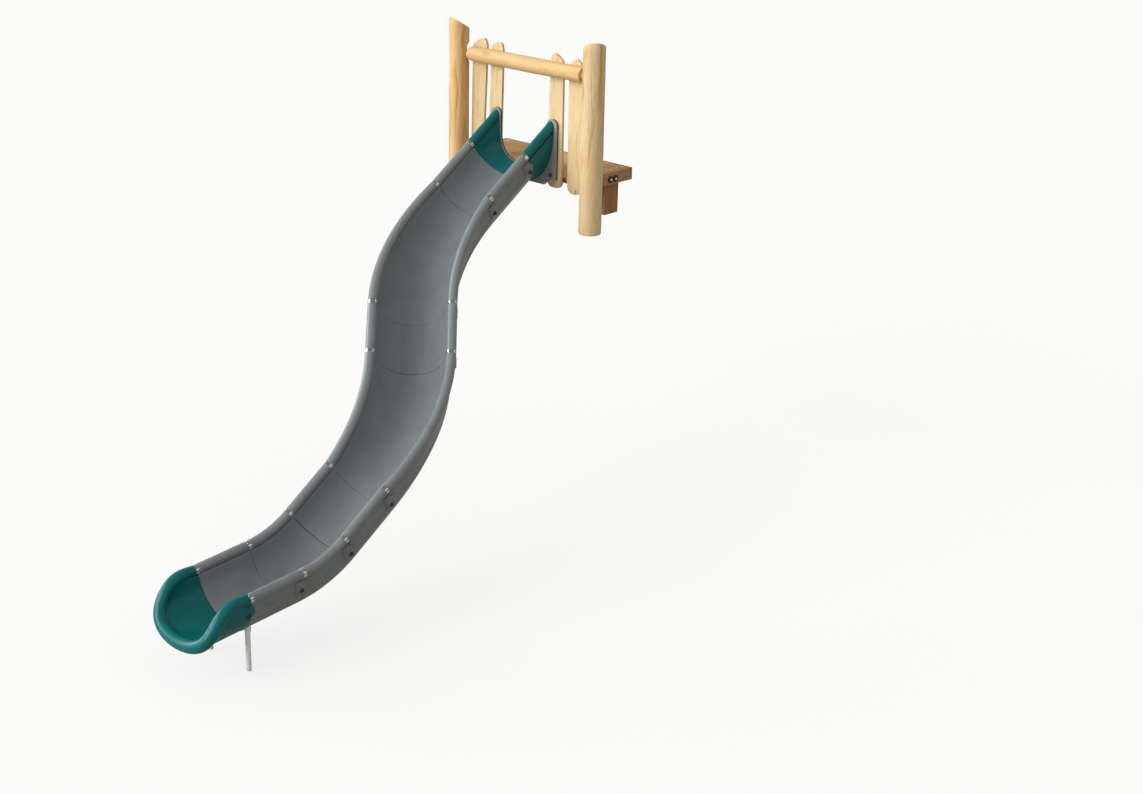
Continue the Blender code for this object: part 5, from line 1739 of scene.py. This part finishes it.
# ---------------------------------------------------------------- small trim
# black pad in the notch behind the bar's tip, a dark piece standing in for the shadow there (painted shade); and a
# black cap nut in the gap beside the third board
bm = bmesh.new()
prism(bm, [(0.034 * math.cos(2 * math.pi * k / 40), -0.006 + 0.052 * math.sin(2 * math.pi * k / 40)) for k in range(40)],
      0.0005, 0.0050,
      axes(Vector((POST_X_LEFT, POST_Y, BAR_Z)) + Vector((math.cos(NOTCH_FACE), math.sin(NOTCH_FACE), 0.0)) * NOTCH_FLOOR,
           Vector((-math.sin(NOTCH_FACE), math.cos(NOTCH_FACE), 0.0)), Vector((0, 0, 1)),
           Vector((math.cos(NOTCH_FACE), math.sin(NOTCH_FACE), 0.0))))
from_bm("notch_shadow_pad", bm, [BLACK], 40.0)
for sign, side in ((1, "right"), (-1, "left")):
    mesh = Mesh()
    prof = [(0.010, -0.003), (0.0125, 0.0002), (0.0125, 0.006), (0.0115, 0.0085), (0.008, 0.0102), (0.0, 0.0108)]
    lathe(mesh, prof, 32, axes(Vector((sign * 0.3855, plank_y0, -0.196)), Vector((1, 0, 0)), Vector((0, 0, 1)),
                               Vector((0, -1, 0))))
    mesh.build("board_nut_%s" % side, [CAP], 35.0)

# ---------------------------------------------------------------- studio
AZ, PITCH = 2.3887, 0.3603
h = Vector((math.cos(AZ), math.sin(AZ), 0.0))
F = h * math.cos(PITCH) - Vector((0, 0, 1)) * math.sin(PITCH)
R = Vector((math.sin(AZ), -math.cos(AZ), 0.0))
U = R.cross(F)
C = Vector((9.4508, -8.2953, 5.8669))
camera = bpy.data.cameras.new("camera")
camera_obj = bpy.data.objects.new("camera", camera)
bpy.context.scene.collection.objects.link(camera_obj)
camera_obj.matrix_world = Matrix(((R.x, U.x, -F.x, C.x), (R.y, U.y, -F.y, C.y), (R.z, U.z, -F.z, C.z), (0, 0, 0, 1)))
camera.sensor_width = 36.0
camera.lens = 1944 / 1143 * 36.0
camera.shift_x = (571.5 - 430) / 1143
camera.clip_end = 200.0
bpy.context.scene.camera = camera_obj

scene = bpy.context.scene
scene.view_settings.view_transform = "Standard"
scene.view_settings.look = "None"
scene.view_settings.exposure = 0.0
scene.view_settings.gamma = 1.0

world = bpy.data.worlds.new("studio")
scene.world = world
world.use_nodes = True


class Sky(Nodes):
    """The same node helper for the world: a tent of soft panels, white where it is seen itself."""

    def __init__(self, target):
        self.tree = target.node_tree
        for n in list(self.tree.nodes):
            self.tree.nodes.remove(n)

    def level(self, value):
        b = self.add("ShaderNodeBackground")
        if hasattr(value, "is_output"):
            self.link(value, b.inputs["Color"])
        else:
            b.inputs["Color"].default_value = (value[0], value[1], value[2], 1.0)
        b.inputs["Strength"].default_value = 1.0
        return b.outputs[0]

    def either(self, factor, a, b):
        m = self.add("ShaderNodeMixShader")
        self.link(factor, m.inputs[0])
        self.link(a, m.inputs[1])
        self.link(b, m.inputs[2])
        return m.outputs[0]


sky = Sky(world)
direction = sky.add("ShaderNodeTexCoord").outputs["Generated"]


def along(axis):
    d = sky.add("ShaderNodeVectorMath")
    d.operation = "DOT_PRODUCT"
    d.inputs[1].default_value = tuple(axis)
    sky.link(direction, d.inputs[0])
    return d.outputs["Value"]


height = along((0, 0, 1))
leftward = along(-R)
soft = sky.math("ADD", sky.range(height, -0.1, 1.0, FILL_LOW, FILL_TOP), sky.range(leftward, 0.0, 1.0, 0.0, FILL_LEFT))
panels = sky.ramp(sky.range(height, -1.0, 1.0, 0.0, 1.0),
                  [(0.0, 0.30), (0.465, 0.34), (0.485, 0.05), (0.605, 0.05), (0.635, 0.95), (0.72, 0.90), (0.80, 0.26),
                   (0.96, 0.22)])
side_panel = sky.range(leftward, 0.62, 0.72, 0.0, 1.80)
gloss = sky.math("MAXIMUM", panels, side_panel)
path = sky.add("ShaderNodeLightPath")
tint = sky.mix(1.0, soft, (1.0, 0.970, 0.905), "MULTIPLY")
lit = sky.either(path.outputs["Is Glossy Ray"], sky.level(tint), sky.level(gloss))
seen = sky.either(path.outputs["Is Camera Ray"], lit, sky.level((1.0, 1.0, 1.0)))
out_node = sky.add("ShaderNodeOutputWorld")
sky.link(seen, out_node.inputs[0])


def sun(name, towards, strength, angle, colour):
    data = bpy.data.lights.new(name, "SUN")
    data.energy = strength
    data.angle = math.radians(angle)
    data.color = colour
    obj = bpy.data.objects.new(name, data)
    scene.collection.objects.link(obj)
    obj.rotation_mode = "QUATERNION"
    obj.rotation_quaternion = (-Vector(towards)).to_track_quat("-Z", "Y")
    return obj


sun("key", -R * 0.80 - h * 0.38 + Vector((0, 0, 0.37)), KEY, 44.0, (1.0, 0.997, 0.990))
sun("rim", -R * 0.82 + h * 0.42 + Vector((0, 0, 0.26)), RIM, 26.0, (1.0, 0.997, 0.990))

# floor
bm = bmesh.new()
n = 24
grid = [[bm.verts.new(((i / n - 0.5) * 160, (j / n - 0.5) * 160, -0.0005)) for i in range(n + 1)] for j in range(n + 1)]
for j in range(n):
    for i in range(n):
        bm.faces.new((grid[j][i], grid[j][i + 1], grid[j + 1][i + 1], grid[j + 1][i]))
floor_mesh = bpy.data.meshes.new("floor")
bm.to_mesh(floor_mesh)
bm.free()
floor = bpy.data.objects.new("floor", floor_mesh)
scene.collection.objects.link(floor)
k = Nodes("floor_paper")
k.set("Base Color", (0.80, 0.80, 0.80))
k.set("Roughness", 0.9)
k.set("Specular IOR Level", 0.0)
glow = k.add("ShaderNodeEmission")
glow.inputs["Color"].default_value = (1.0, 1.0, 1.0, 1.0)
paper = k.add("ShaderNodeMixShader")
paper.inputs[0].default_value = FLOOR_GLOW
k.link(k.bsdf.outputs[0], paper.inputs[1])
k.link(glow.outputs[0], paper.inputs[2])
dim = k.add("ShaderNodeBsdfDiffuse")
dim.inputs["Color"].default_value = FLOOR_BOUNCE
floor_path = k.add("ShaderNodeLightPath")
choose = k.add("ShaderNodeMixShader")
k.link(floor_path.outputs["Is Camera Ray"], choose.inputs[0])
k.link(dim.outputs[0], choose.inputs[1])
k.link(paper.outputs[0], choose.inputs[2])
k.link(choose.outputs[0], k.out.inputs[0])
k.mat.cycles.emission_sampling = "NONE"
floor_mesh.materials.append(k.mat)
